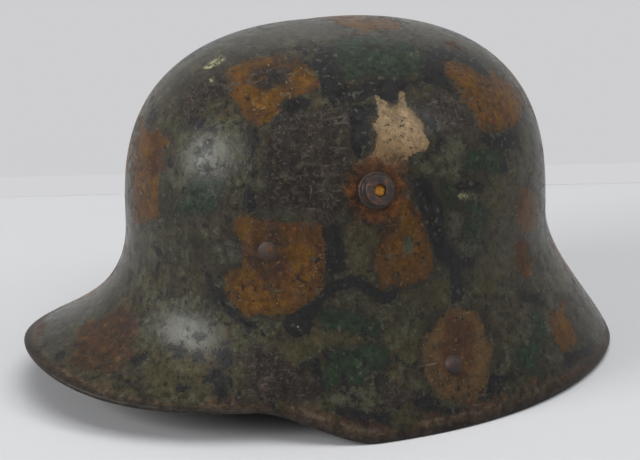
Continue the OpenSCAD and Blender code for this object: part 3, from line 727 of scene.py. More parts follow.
def points_of(mesh, kind="co"):
    values = np.zeros(len(mesh.vertices) * 3)
    mesh.vertices.foreach_get(kind, values)
    return values.reshape(-1, 3)


def place_piece(piece, body, slot, *nodes):
    """Puts a finished piece on its body, in place of its CAD nodes. The slot is not used."""
    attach(piece, body)
    if nodes:
        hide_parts(*nodes)
    return piece


def seats_at(law, angles, height):
    return [law.seat(a, height) for a in angles]


def set_out(name, pattern_mesh, places, material, number, spread=0.0):
    """One piece made of a fastener on every seat, each with a turn and a tilt of its own."""
    pattern = bpy.data.objects.new(name + "_pattern", pattern_mesh)
    recipe = Recipe(name)
    seats = recipe.mesh_input("Seats")
    piece = recipe.input("Fastener", pattern, "Object")
    tilt = recipe.input("Tilt", spread)
    seed = recipe.input("Seed", number, "Int")
    upright = recipe.add("FunctionNodeAlignRotationToVector", {"axis": "Z"}, {"Vector": recipe.way_out()})
    lean = recipe.chance(-1.0, 1.0, seed) * tilt
    turn = recipe.chance(0.0, TURN, seed)
    local = recipe.add("FunctionNodeEulerToRotation", None, {"Euler": recipe.vector(lean, lean * -0.6, turn)})
    rotation = recipe.add("FunctionNodeRotateRotation", {"rotation_space": "LOCAL"},
                          {"Rotation": upright, "Rotate By": local})
    info = recipe.add("GeometryNodeObjectInfo", {"transform_space": "ORIGINAL"}, {"Object": piece}, "Geometry")
    recipe.finish(recipe.add("GeometryNodeInstanceOnPoints", None,
                             {"Points": seats, "Instance": info, "Rotation": rotation}), material)
    points = [((seat.to_translation(),), (seat.to_3x3().col[2],)) for seat in places]
    made = recipe.grow(name, guide_mesh(name + "_seats", points))
    bpy.data.objects.remove(pattern)
    return made


def stitches(name, lines, spacing, thread, number, material):
    """Lays stitches end to end along lines of (points, ways out), each dipping into its holes."""
    recipe = Recipe(name)
    seam = recipe.mesh_input("Seam")
    pitch = recipe.input("Pitch", spacing)
    radius = recipe.input("Thread radius", thread)
    reach = recipe.input("Stitch length", spacing * 0.72)
    seed = recipe.input("Seed", number, "Int")
    line = recipe.add("GeometryNodeMeshToCurve", None, {"Mesh": seam})
    dots, tangent = (recipe.add("GeometryNodeCurveToPoints", {"mode": "LENGTH"}, {"Curve": line, "Length": pitch},
                                part) for part in ("Points", "Tangent"))
    along = recipe.add("FunctionNodeAlignRotationToVector", {"axis": "X"}, {"Vector": tangent})
    upright = recipe.add("FunctionNodeAlignRotationToVector", {"axis": "Z", "pivot_axis": "X"},
                         {"Rotation": along, "Vector": recipe.way_out()})
    bead = recipe.add("GeometryNodeMeshIcoSphere", None, {"Radius": 1.0, "Subdivisions": 2}, "Mesh")
    position = recipe.add("GeometryNodeInputPosition")
    x, y, z = (recipe.add("ShaderNodeSeparateXYZ", None, {0: position}, i) for i in range(3))
    bowed = recipe.vector(x * reach / 2, y * radius, z * radius - x ** 4 * radius * 0.7 + radius * 0.25)
    stitch = recipe.add("GeometryNodeSetPosition", None, {"Geometry": bead, "Position": bowed})
    soft = recipe.add("GeometryNodeSetShadeSmooth", None, {"Geometry": stitch})
    size = recipe.chance(0.88, 1.08, seed)
    recipe.finish(recipe.add("GeometryNodeInstanceOnPoints", None,
                             {"Points": dots, "Instance": soft, "Rotation": upright,
                              "Scale": recipe.vector(size, size, size)}), material)
    return recipe.grow(name, guide_mesh(name + "_seam", lines))


def guide_mesh(name, lines):
    """A mesh of open lines or single points that carry the way out of the surface; a line is (points, ways out)."""
    mesh = bpy.data.meshes.new(name)
    points, ways, edges = [], [], []
    for line, out in lines:
        edges += [(len(points) + i, len(points) + i + 1) for i in range(len(line) - 1)]
        points += [tuple(p) for p in line]
        ways += [tuple(o) for o in out]
    mesh.from_pydata(points, edges, [])
    field = mesh.attributes.new("out", "FLOAT_VECTOR", "POINT")
    field.data.foreach_set("vector", np.array(ways, np.float32).ravel())
    return mesh


def pierce(mesh, seats, radius, both_faces=False):
    """Cuts a round hole at each seat, through a sheet or through both faces of a wall."""
    near, ragged = 6 * MM, 4 * MM
    shape = bmesh.new()
    shape.from_mesh(mesh)
    for seat in seats:
        local = seat.inverted()

        def within(reach):
            around = [v for v in shape.verts if (v.co - seat.translation).length < radius + near]
            return [v for v in around if (local @ v.co).xy.length < reach]

        bmesh.ops.delete(shape, geom=within(radius), context="VERTS")
        rim = list(dict.fromkeys(e for v in within(radius + ragged) for e in v.link_edges if e.is_boundary))
        for vert in dict.fromkeys(v for e in rim for v in e.verts):
            place = local @ vert.co
            grow = radius / place.xy.length
            vert.co = seat @ Vector((place.x * grow, place.y * grow, place.z))
        if both_faces:
            bmesh.ops.bridge_loops(shape, edges=rim)
    bmesh.ops.recalc_face_normals(shape, faces=shape.faces)
    shape.to_mesh(mesh)
    shape.free()


def lie_on(piece, points, lift):
    """Brings points to a piece's surface and lifts them off it."""
    shape = bmesh.new()
    shape.from_mesh(piece.data)
    tree = BVHTree.FromBMesh(shape)
    found = [tree.find_nearest(Vector(p))[:2] for p in points]
    shape.free()
    return [place + way * lift for place, way in found]


def swell(piece, voxel, pressure, cap, frames=20):
    """Remeshes a closed bag and lets it swell as cloth, with no point moving further than the cap."""
    net = piece.modifiers.new("Net", "REMESH")
    net.mode = "VOXEL"
    net.voxel_size = voxel
    settle(piece)
    before = points_of(piece.data)
    cloth = piece.modifiers.new("Cloth", "CLOTH")
    cloth.settings.use_pressure = True
    cloth.settings.uniform_pressure_force = pressure
    cloth.settings.effector_weights.gravity = 0
    for moment in range(1, frames + 1):
        bpy.context.scene.frame_set(moment)
    settle(piece)
    bpy.context.scene.frame_set(1)
    moved = points_of(piece.data) - before
    far = np.linalg.norm(moved, axis=1, keepdims=True)
    moved *= np.minimum(1, cap / np.maximum(far, 1e-9))
    piece.data.vertices.foreach_set("co", (before + moved).ravel())
    soft = piece.modifiers.new("Soft", "SUBSURF")
    soft.levels = soft.render_levels = 1
    return smooth_shaded(settle(piece))


def sew(name, body, slot, lines, seed, spacing=4.4 * MM, thread=0.42 * MM):
    """Sews along lines of (points, ways out) with linen thread."""
    linen = Finish(name)
    twist = linen.noise(900.0, 3.0, 0.6)
    shade = linen.mix(between(linen.noise(60.0, 3.0), 0.4, 0.6), (0.3, 0.235, 0.15), (0.16, 0.115, 0.07))
    shade = linen.mix(between(twist, 0.5, 0.65) * 0.5, shade, (0.08, 0.055, 0.035))
    material = linen.shade(shade, 0.85, 0.0, twist * 0.15)
    return place_piece(stitches(name, lines, spacing, thread, seed, material), body, slot)


class Pad:
    """One leather pad of the liner, in the shell's angles: it hangs from the band and forks towards the crown."""
    THICKNESS = 1.6 * MM
    ROOT_DEPTH = 3.75 * MM
    DEPTH, TIP_DEPTH = 13.5 * MM, 30 * MM
    LOW_Z, RIVET_Z = 77 * MM, 83 * MM
    TIP_RISE = 66 / 90
    SPLIT = 1 / 3
    SLIT = math.radians(3)
    RIVET_INSET, CUSHION_INSET = math.radians(6), math.radians(4)

    def __init__(self, law, name, start, end):
        self.law = law
        self.name = name
        self.start, self.end = math.radians(start), math.radians(end)

    def outer_depth(self, v):
        """Depth of the face that is turned to the shell, along the pad from its root, 0, to its tips, 1."""
        return (self.ROOT_DEPTH + (self.DEPTH - self.THICKNESS - self.ROOT_DEPTH) * ease((v - 0.12) / 0.3)
                + (self.TIP_DEPTH - self.DEPTH) * ease((v - 0.35) / 0.65))

    def s(self, a, v):
        root_s = self.law.at_height(a % TURN, self.LOW_Z)
        return root_s + (1 - self.TIP_RISE - root_s) * v

    def at(self, a, v, depth):
        return self.law.point(a, self.s(a, v), depth)

    def angle(self, side, u, v):
        """Angle of a point: side -1 or 1, u from the outer edge, 0, to the slit, 1."""
        beyond = np.maximum(v - self.SPLIT, 0) / (1 - self.SPLIT)
        middle = (self.start + self.end) / 2
        near = middle + side * np.where(v > self.SPLIT, self.SLIT * (0.5 + beyond), 0)
        far = self.start if side < 0 else self.end
        round_off = np.sqrt(np.maximum(0.012, 1 - np.maximum(0, (beyond - 0.7) / 0.3) ** 2))
        straight = far + (near - far) * u
        return (near + far) / 2 + (straight - (near + far) / 2) * round_off

    def across_cushion(self, u):
        """Angles across the pad's cushion, with u from -1 at one end to 1 at the other."""
        return (self.start + self.end) / 2 + (self.end - self.start - 2 * self.CUSHION_INSET) / 2 * u

    def rivet_angles(self):
        start, end = self.start + self.RIVET_INSET, self.end - self.RIVET_INSET
        return [start + (end - start) * i / 4 for i in range(5)]

    def seam(self, side, inset=4.2 * MM):
        """The line of stitches round one finger, on the face that is turned to the head."""
        reach = 32 * MM
        u = inset / reach
        low, top, bow = 0.04, 0.93, 0.025
        up, down = np.linspace(low, top, 40), np.linspace(top, self.SPLIT + 0.06, 30)
        over = np.linspace(u, 1 - u, 10)[1:-1]
        steps = ([(u, v) for v in up] + [(w, top + bow * math.sin(math.pi * w)) for w in over]
                 + [(1 - u, v) for v in down])
        shares, v = np.array(steps).T
        a = self.angle(side, shares, v)
        out = -self.law.outward(a, self.s(a, v))
        return self.at(a, v, self.outer_depth(v) + self.THICKNESS) + out * 0.05 * MM, out

    def eyelets(self):
        """Where the fingers are pierced for the lace that set the liner's depth."""
        for side in (-1, 1):
            a, v = self.angle(side, 0.5, 0.9), 0.9
            seat = Vector(self.law.outward(a, self.s(a, v))).to_track_quat("Z", "X").to_matrix().to_4x4()
            yield Matrix.Translation(Vector(self.at(a, v, self.outer_depth(v) + self.THICKNESS / 2))) @ seat

    def leather(self, rows=96, half=30):
        """The pad's middle sheet, slightly creased, before it gets its thickness."""
        split_row = round(rows * self.SPLIT)
        share = np.arange(rows + 1) / rows
        v = np.where(share > 0.8, 0.8 + 0.2 * np.sin(np.clip((share - 0.8) / 0.2, 0, 1) * math.pi / 2), share)
        index = {}
        points, faces = [], []
        for side in (-1, 1):
            for row in range(rows + 1):
                for col in range(half + 1):
                    if side > 0 and col == half and row <= split_row:
                        index[side, row, col] = index[-1, row, col]
                        continue
                    index[side, row, col] = len(points)
                    points.append((self.angle(side, col / half, v[row]), v[row]))
            for row in range(rows):
                for col in range(half):
                    corners = [index[side, row, col], index[side, row, col + 1],
                               index[side, row + 1, col + 1], index[side, row + 1, col]]
                    faces.append(corners if side < 0 else corners[::-1])
        a, v = np.array(points).T
        sag = 0.5 * MM * np.sin(a * 19) * np.sin(v * 7 + 1) * ease((v - 0.2) / 0.3)
        places = self.at(a, v, self.outer_depth(v) + self.THICKNESS / 2 + sag)
        mesh = bpy.data.meshes.new(self.name)
        mesh.from_pydata(places.tolist(), [], faces)
        return mesh


def pads_of(law):
    """The three pads: between the two front pins, and from each of them to the back."""
    return [Pad(law, "pad_front", -49, 49), Pad(law, "pad_left", 63, 169), Pad(law, "pad_right", 191, 297)]


def thicken(piece, thickness, bevel):
    """Gives a sheet its thickness and rounds its cut edges."""
    wall = piece.modifiers.new("Thickness", "SOLIDIFY")
    wall.thickness = thickness
    wall.offset = 0
    wall.use_even_offset = True
    edge = piece.modifiers.new("Edge", "BEVEL")
    edge.width = bevel
    edge.segments = 3
    edge.limit_method = "ANGLE"
    edge.angle_limit = math.radians(60)
    return settle(piece)


def smooth_shaded(piece):
    piece.data.shade_smooth()
    return piece


class Strap:
    """The chin strap's flat line in its own plane: x across the helmet, y away from the posts."""
    WIDTH, THICKNESS = 16 * MM, 1.8 * MM
    CHIN_RADIUS, CHIN_Y = 60 * MM, 74.3155 * MM
    LEAN = math.radians(25)
    BAR = (93.7588 * MM, 20.9 * MM)
    WRAP, GAP, ROW = 2.4 * MM, 0.4 * MM, 5.4 * MM
    CORNER, END_ROUND = 0.55 * MM, 4 * MM
    TURN_START, TURN_BACK = 14 * MM, 64 * MM
    HINGE = (0, 31.301 * MM, 26.7937 * MM)
    DIP = math.radians(7.89354)

    def frame(self):
        return Matrix.Translation(self.HINGE) @ Matrix.Rotation(math.pi + self.DIP, 4, "X")

    def ways(self):
        """The way out of the strap's side and the way down from the post."""
        side = np.array([math.cos(self.LEAN), math.sin(self.LEAN)])
        return side, np.array([-side[1], side[0]])

    def half(self):
        """From the middle of the chin up one side, round the fitting's bar and back down the leather."""
        side, leg = self.ways()
        chin = [math.pi / 2 - (math.pi / 2 - self.LEAN) * i / 48 for i in range(49)]
        curve = [(self.CHIN_RADIUS * math.cos(q), self.CHIN_Y + self.CHIN_RADIUS * math.sin(q)) for q in chin]
        start = np.array(self.BAR) - self.WRAP * side
        straight = [tuple(np.array(curve[-1]) + (start - curve[-1]) * i / 40) for i in range(1, 40)]
        wrap = [math.pi + self.LEAN + math.pi * i / 24 for i in range(25)]
        loop = [(self.BAR[0] + self.WRAP * math.cos(q), self.BAR[1] + self.WRAP * math.sin(q)) for q in wrap]
        back = start + (self.THICKNESS + self.GAP) * side
        first, last = loop[-1], back + self.TURN_START * leg
        ease_in = [tuple(first + (last - first) * i / 12) for i in range(1, 13)]
        tail = [tuple(last + (self.TURN_BACK - self.TURN_START) * i / 40 * leg) for i in range(1, 41)]
        return np.array(curve + straight + loop + ease_in + tail)

    def seams(self):
        """Two rows through each turned-back end, seen on both faces, in the helmet's own place."""
        side, leg = self.ways()
        main = np.array(self.BAR) - self.WRAP * side
        tail = main + (self.THICKNESS + self.GAP) * side
        frame = self.frame()
        steps = np.linspace(self.TURN_START + 3 * MM, self.TURN_BACK - 5 * MM, 24)
        lines = []
        for face, way in ((tail + side * self.THICKNESS / 2, side), (main - side * self.THICKNESS / 2, -side)):
            for across in (-self.ROW, self.ROW):
                for mirror in (1, -1):
                    run = [face + leg * d for d in steps]
                    points = [frame @ Vector((p[0] * mirror, p[1], across)) for p in run]
                    out = frame.to_3x3() @ Vector((way[0] * mirror, way[1], 0))
                    lines.append((points, [out] * len(points)))
        return lines

    def mesh(self):
        """Leather with rounded edges, its ends cut round."""
        half = self.half()
        line = np.vstack([half[:0:-1] * (-1, 1), half])
        way = np.gradient(line, axis=0)
        way /= np.linalg.norm(way, axis=1, keepdims=True)
        beside = np.stack([-way[:, 1], way[:, 0]], 1)
        travelled = np.concatenate([[0], np.cumsum(np.linalg.norm(np.diff(line, axis=0), axis=1))])
        to_end = np.minimum(travelled, travelled[-1] - travelled)
        half_w = self.WIDTH / 2 * np.sqrt(
            np.clip(1 - (1 - np.clip(to_end / self.END_ROUND, 0, 1)) ** 2, 0.05, 1))
        section = []
        for cx, cy, start in ((1, 1, 0), (-1, 1, 90), (-1, -1, 180), (1, -1, 270)):
            section += [(cx, cy, *arc((0, 0), self.CORNER, t, t, 1)[0]) for t in range(start, start + 91, 30)]
        shape = bmesh.new()
        place = self.frame()
        rings = []
        for point, out, width in zip(line, beside, half_w):
            ring = []
            for cx, cy, dx, dy in section:
                flat = cx * (width - self.CORNER) + dx
                deep = cy * (self.THICKNESS / 2 - self.CORNER) + dy
                ring.append(shape.verts.new(place @ Vector((*(point + out * deep), flat))))
            rings.append(ring)
        skin(shape, rings)
        shape.faces.new(rings[0][::-1])
        shape.faces.new(rings[-1])
        return mesh_of("chin_strap", shape)


def cushion_seam(pad):
    """The sewn lower edge of a cushion's bag, and the ways out of it."""
    u = np.linspace(-0.86, 0.86, 60)
    a = pad.across_cushion(u)
    v = np.full_like(u, 0.17)
    middle = (pad.outer_depth(v) + pad.ROOT_DEPTH) / 2
    places = pad.at(a, v, middle)
    down = places - pad.at(a, v + 0.02, middle)
    return places, down / np.linalg.norm(down, axis=1, keepdims=True)


def cushion_mesh(pad, fill=0.72, stations=72, ring_count=40):
    """The cushion's bag before it swells, between the pad and the shell."""
    low, high = 0.2, 0.59
    gap = 0.35 * MM
    u = np.linspace(-1, 1, stations)[:, None]
    t = np.linspace(0, TURN, ring_count, endpoint=False)[None, :]
    a = pad.across_cushion(u) + 0 * t
    full = np.sqrt(np.maximum(0.02, 1 - np.abs(u) ** 5))
    v = (low + high) / 2 - (high - low) / 2 * signed_power(np.cos(t), 0.7) * (0.85 + 0.15 * full)
    thick = pad.outer_depth(v) - gap - pad.ROOT_DEPTH
    depth = pad.ROOT_DEPTH + thick / 2 * (1 + fill * full * signed_power(np.sin(t), 0.8))
    places = pad.at(a, v, depth)
    shape = bmesh.new()
    rings = [[shape.verts.new(p) for p in row] for row in places]
    skin(shape, rings)
    for ring in (rings[0], rings[-1]):
        shape.faces.new(ring)
    return mesh_of(pad.name.replace("pad", "cushion"), shape)


# The hand-painted camouflage and two painted highlights. Each outline is laid on the shell from where the camera
# stands. Its points are x and y by turns, in pixels of the 640 by 460 picture that the camera takes.

OUTLINES = {"ochre": {
    "round_pin": (232, 222, 238, 218, 251, 215, 262, 220, 312, 221, 318, 224, 322, 232, 326, 272, 325, 282, 320, 292,
        313, 300, 300, 309, 275, 318, 262, 316, 248, 318, 240, 313, 231, 300, 225, 288, 224, 276, 229, 268, 240, 267,
        243, 250, 238, 240, 233, 235),
    "below_lug": (386, 219, 401, 203, 408, 193, 419, 212, 432, 248, 434, 263, 432, 272, 424, 281, 403, 288, 393, 286,
        381, 292, 376, 270, 377, 253, 384, 242, 386, 232),
    "back_of_dome": (449, 62, 455, 60, 469, 66, 478, 72, 482, 78, 490, 83, 493, 80, 488, 70, 490, 66, 503, 79,
        512, 84, 520, 92, 524, 104, 522, 118, 517, 126, 508, 127, 500, 133, 482, 131, 478, 120, 470, 108, 464, 102,
        460, 92, 446, 76, 446, 68),
    "brow": (225, 70, 240, 58, 272, 55, 300, 62, 307, 62, 313, 68, 318, 78, 320, 88, 312, 93, 298, 95, 287, 99,
        280, 105, 279, 112, 270, 122, 260, 126, 250, 122, 238, 104, 231, 97),
    "brow_edge": (146, 128, 152, 131, 160, 132, 168, 138, 170, 144, 161, 150, 161, 215, 150, 222, 140, 226, 133, 224,
        131, 200, 132, 170, 138, 128, 143, 120),
    "crown": (330, 17, 345, 16, 395, 19, 404, 27, 398, 29, 358, 32, 340, 27),
    "round_strap_rivet": (434, 320, 447, 312, 455, 310, 478, 314, 486, 329, 485, 336, 489, 343, 496, 346, 485, 390,
        478, 398, 440, 398, 425, 377, 424, 340),
    "back_of_skirt": (561, 301, 564, 300, 567, 306, 567, 315, 574, 320, 582, 343, 580, 347, 564, 353, 559, 350,
        555, 344, 551, 322, 553, 313, 559, 308),
    "back_edge": (519, 187, 528, 186, 536, 192, 540, 210, 538, 225, 532, 236, 524, 234, 518, 222, 516, 205),
    "back_edge_low": (514, 240, 526, 246, 532, 262, 534, 279, 524, 277, 518, 262),
}, "tan": {
    "above_lug": (376, 97, 397, 106, 402, 90, 408, 102, 418, 114, 424, 124, 426, 131, 431, 138, 433, 145, 428, 151,
        418, 154, 409, 160, 408, 168, 404, 173, 390, 172, 370, 168, 352, 176, 350, 170, 352, 163, 366, 158, 372, 150,
        374, 141, 373, 130, 368, 122, 378, 119, 379, 110),
}, "olive": {
    "left_of_lug_patch": (344, 224, 362, 222, 376, 217, 386, 220, 384, 240, 377, 253, 376, 286, 348, 276, 344, 262,
        342, 240),
    "visor_end": (145, 362, 165, 358, 190, 360, 209, 364, 208, 390, 180, 396, 150, 392),
    "below_pin": (281, 350, 278, 344, 286, 340, 298, 337, 306, 331, 315, 320, 318, 328, 326, 331, 347, 332, 359, 335,
        370, 341, 362, 344, 335, 343, 317, 352, 312, 357, 291, 365, 281, 360),
    "on_crown_green": (333, 58, 345, 55, 358, 60, 362, 70, 357, 82, 345, 84, 335, 78),
    "beside_tan": (419, 126, 432, 122, 442, 130, 442, 146, 430, 150, 430, 138),
    "back": (482, 196, 500, 190, 512, 195, 514, 230, 512, 262, 500, 290, 480, 300, 474, 285, 476, 262, 490, 245,
        494, 230, 490, 215),
    "above_strap_rivet": (400, 292, 425, 280, 450, 275, 455, 296, 440, 306, 415, 306, 400, 304),
}, "island": {
    "long": (449, 212, 460, 210, 466, 216, 460, 238, 455, 243, 448, 240, 446, 228),
    "round": (459, 242, 468, 240, 474, 246, 473, 256, 468, 260, 455, 247),
    "tall": (448, 138, 455, 138, 464, 146, 478, 148, 470, 152, 464, 160, 458, 172, 450, 172, 447, 158),
    "chip": (456, 196, 462, 190, 474, 190, 475, 200, 468, 204, 458, 203),
    "low": (333, 392, 339, 385, 353, 384, 362, 387, 366, 395, 362, 403, 356, 410, 326, 404, 323, 399),
    "low_right": (366, 372, 374, 366, 388, 368, 388, 380, 378, 387, 366, 384),
    "in_ochre": (402, 243, 405, 236, 410, 233, 414, 238, 414, 247, 411, 254, 406, 253),
    "by_pin": (283, 240, 290, 237, 297, 241, 292, 246, 284, 245),
    "pin_notch": (226, 240, 238, 239, 244, 250, 241, 266, 231, 267, 227, 258),
    # Painted highlights: front is the pale patch where the window's light shines on the brow, front_low the one on the
    # visor's flare
    "front": (168, 168, 200, 134, 225, 124, 246, 128, 247, 165, 228, 168, 206, 174, 192, 176, 180, 190, 168, 188),
    "front_low": (158, 300, 180, 296, 205, 300, 216, 318, 214, 342, 192, 350, 168, 344, 156, 325),
}, "green": {
    "front": (184, 200, 190, 185, 195, 177, 205, 178, 215, 176, 228, 170, 230, 180, 222, 192, 217, 206, 212, 212,
        203, 217, 196, 212, 184, 216, 174, 212, 171, 204, 178, 200),
    "crown": (333, 46, 345, 38, 365, 36, 410, 42, 421, 48, 423, 60, 420, 72, 410, 78, 395, 79, 380, 76, 366, 76,
        357, 83, 345, 80, 334, 70, 332, 58),
    "back_high": (462, 160, 470, 150, 484, 147, 500, 150, 506, 156, 503, 168, 490, 172, 476, 170, 466, 174),
    "back_middle": (438, 180, 452, 182, 456, 195, 462, 206, 475, 200, 484, 202, 488, 215, 486, 222, 478, 220,
        460, 210, 448, 206, 442, 196),
    "back_low": (466, 217, 476, 220, 482, 226, 480, 238, 474, 241, 468, 237, 462, 239, 460, 232, 465, 225),
    "belt": (321, 311, 332, 309, 353, 314, 356, 312, 362, 314, 366, 323, 370, 324, 381, 321, 384, 324, 382, 334,
        375, 337, 361, 332, 326, 329, 320, 318),
    "skirt": (326, 351, 335, 344, 347, 349, 361, 347, 370, 341, 385, 346, 390, 352, 392, 361, 381, 373, 373, 372,
        367, 377, 366, 386, 347, 384, 335, 387, 326, 392, 320, 386, 323, 377, 323, 357),
    "skirt_back": (530, 313, 534, 311, 540, 313, 542, 322, 546, 329, 536, 363, 541, 370, 544, 380, 543, 385, 539, 375,
        530, 370, 520, 368, 515, 363, 513, 354, 516, 347, 520, 344, 527, 343, 533, 336, 533, 324),
}, "black": {
    "right_of_pin": (313, 221, 341, 219, 344, 262, 347, 270, 336, 274, 328, 282, 324, 284, 326, 272, 320, 232),
    "under_pin": (328, 284, 336, 279, 350, 277, 368, 282, 385, 292, 398, 288, 399, 298, 388, 303, 378, 299, 370, 291,
        356, 287, 340, 290, 330, 297, 320, 301, 322, 308, 314, 318, 310, 330, 300, 338, 292, 337, 286, 328, 286, 315,
        313, 302),
    "left_under_pin": (210, 284, 217, 282, 230, 304, 240, 316, 250, 320, 264, 318, 262, 326, 250, 330, 252, 341,
        240, 324, 212, 300),
    "beside_lug": (410, 178, 420, 175, 432, 176, 444, 210, 446, 235, 452, 247, 462, 256, 476, 258, 473, 266, 452, 269,
        444, 262, 436, 262, 419, 210, 411, 192),
    "drip": (452, 268, 460, 268, 460, 296, 454, 300),
    "across_dome": (312, 52, 330, 48, 334, 60, 334, 72, 345, 82, 357, 85, 368, 79, 410, 79, 424, 70, 430, 56, 425, 50,
        440, 48, 470, 56, 486, 66, 493, 74, 492, 82, 485, 80, 478, 72, 455, 60, 445, 64, 446, 76, 462, 96, 450, 93,
        436, 86, 425, 84, 408, 88, 399, 100, 392, 103, 380, 97, 372, 95, 360, 101, 345, 105, 322, 95, 319, 80,
        312, 66),
    "behind_dome": (484, 133, 495, 134, 508, 129, 516, 131, 517, 146, 500, 150, 488, 147, 482, 142),
    "left_of_scuff": (247, 187, 254, 190, 258, 200, 258, 208, 250, 212, 247, 205),
    "under_brow_ring": (247, 130, 258, 128, 261, 142, 254, 160, 256, 178, 251, 179),
    "right_of_brow_ring": (276, 113, 290, 98, 312, 97, 306, 110, 290, 117, 285, 128, 272, 133, 265, 128, 274, 120),
    "left_of_tan": (350, 106, 372, 101, 377, 112, 368, 120, 371, 135, 369, 150, 360, 160, 350, 152, 346, 125),
    "right_of_tan": (408, 103, 420, 103, 432, 112, 441, 126, 447, 140, 440, 150, 428, 160, 412, 168, 408, 162,
        432, 148, 434, 136),
    "brow_fleck": (212, 84, 226, 80, 228, 90, 216, 92),
    "brow_low_fleck": (186, 122, 198, 114, 208, 116, 204, 128, 194, 132),
    "chip_edge": (454, 184, 470, 181, 483, 184, 480, 190, 462, 190, 456, 194),
    "back_low": (517, 282, 524, 290, 540, 291, 543, 296, 537, 308, 530, 302, 522, 299, 518, 292),
    "skirt_middle": (315, 354, 323, 355, 323, 387, 320, 396, 310, 393, 307, 389, 313, 386, 317, 378, 306, 373,
        303, 366),
    "rim_middle": (332, 409, 352, 409, 394, 416, 392, 428, 376, 432, 345, 418),
    "rim_right": (411, 394, 422, 392, 434, 398, 436, 406, 470, 409, 468, 416, 440, 414, 414, 406),
    "skirt_right": (495, 358, 501, 359, 503, 365, 497, 368, 495, 373, 500, 375, 519, 370, 515, 377, 502, 384,
        497, 396, 491, 397, 486, 393, 485, 390, 489, 381),
    "skirt_back": (564, 354, 572, 352, 580, 345, 592, 340, 601, 348, 592, 358, 578, 362, 572, 370, 565, 368),
    "visor_spot": (217, 350, 226, 346, 233, 352, 232, 364, 224, 367, 218, 360),
    "visor_drip": (209, 370, 220, 369, 226, 394, 226, 402, 219, 400, 217, 384, 211, 380),
    "beside_green": (170, 203, 174, 206, 176, 214, 171, 214),
    "visor_edge_spot": (128, 357, 146, 353, 147, 359, 137, 366, 128, 364),
}, "scuffed": {
    "left_of_lug": (262, 130, 275, 122, 305, 111, 325, 107, 345, 106, 350, 125, 350, 150, 353, 165, 347, 180,
        350, 205, 345, 217, 330, 219, 312, 219, 300, 214, 280, 213, 262, 210, 258, 200, 262, 185, 258, 165, 262, 150),
    "skirt": (250, 345, 262, 342, 278, 345, 283, 358, 295, 363, 305, 362, 316, 398, 300, 402, 250, 398, 245, 380,
        246, 360),
    "back_of_dome": (414, 102, 425, 94, 440, 92, 455, 98, 466, 112, 470, 125, 462, 134, 450, 130, 446, 138, 440, 135,
        432, 120),
    "brow_top": (184, 92, 205, 76, 222, 72, 228, 82, 222, 95, 208, 106, 200, 118, 188, 122, 178, 116, 180, 100),
    "brow_ring_middle": (247, 67, 262, 63, 285, 63, 294, 70, 287, 78, 283, 88, 272, 93, 262, 95, 255, 90, 247, 80),
    "skirt_right": (384, 386, 398, 383, 411, 388, 410, 402, 396, 405, 385, 400),
}, "rusty": {
    "pin": (250, 223, 292, 222, 312, 226, 316, 236, 308, 245, 292, 247, 284, 250, 293, 260, 291, 272, 262, 284,
        252, 270, 246, 254, 244, 240),
    "visor": (79, 329, 112, 311, 125, 308, 136, 324, 139, 342, 134, 353, 120, 366, 106, 372, 90, 372, 79, 369,
        72, 364),
    "tan_foot": (352, 164, 376, 158, 388, 164, 404, 166, 402, 174, 388, 178, 370, 176, 352, 182),
    "strap_rivet": (450, 318, 470, 322, 474, 340, 472, 366, 462, 384, 446, 378, 440, 356, 442, 334),
    "brow_edge": (149, 134, 159, 134, 161, 150, 160, 172, 152, 176, 148, 160),
    "back_edge": (518, 236, 530, 240, 533, 262, 526, 278, 518, 262),
    "red_fleck": (447, 43, 455, 44, 461, 48, 452, 48),
}, "pale": {
    "yellow_fleck": (204, 68, 222, 56, 225, 59, 216, 66, 207, 69),
    "brow_chip": (210, 79, 214, 76, 215, 80, 211, 81),
    # Painted highlight: the glint on a chip
    "chip_glint": (458, 196, 464, 192, 468, 196, 462, 202),
}}

# Paints of the parts that the camera doesn't see: angle from the front and height, then the patch's radius in mm
ROUND_PATCHES = (
    ("ochre", 352, 128, 22), ("ochre", 330, 34, 24), ("ochre", 18, 40, 15), ("ochre", 176, 132, 24),
    ("ochre", 170, 46, 20), ("ochre", 262, 168, 22), ("green", 8, 92, 17), ("green", 340, 62, 15),
    ("green", 182, 84, 20), ("green", 332, 158, 24), ("green", 150, 164, 22), ("black", 356, 152, 15),
    ("black", 14, 66, 12), ("black", 188, 108, 14), ("black", 164, 70, 14), ("black", 318, 48, 15),
    ("scuffed", 30, 166, 20), ("scuffed", 190, 62, 16), ("scuffed", 350, 28, 18), ("olive", 0, 108, 20),
    ("island", 346, 88, 13), ("island", 172, 112, 13), ("rusty", 6, 30, 14), ("rusty", 184, 20, 16),
)


def polygon_depth(points, outline):
    """How far points lie inside an outline, in the outline's unit; outside it is below zero."""
    outline = np.array(outline, float).reshape(-1, 2)
    nearest = np.full(len(points), np.inf)
    inside = np.zeros(len(points), bool)
    for start, end in zip(outline, np.roll(outline, -1, 0)):
        side = end - start
        away = points - start
        along = np.clip(away @ side / (side @ side), 0, 1)
        nearest = np.minimum(nearest, np.linalg.norm(away - along[:, None] * side, axis=1))
        crosses = (start[1] > points[:, 1]) != (end[1] > points[:, 1])
        if side[1]:
            inside ^= crosses & (points[:, 0] < start[0] + (points[:, 1] - start[1]) / side[1] * side[0])
    return np.where(inside, nearest, -nearest)


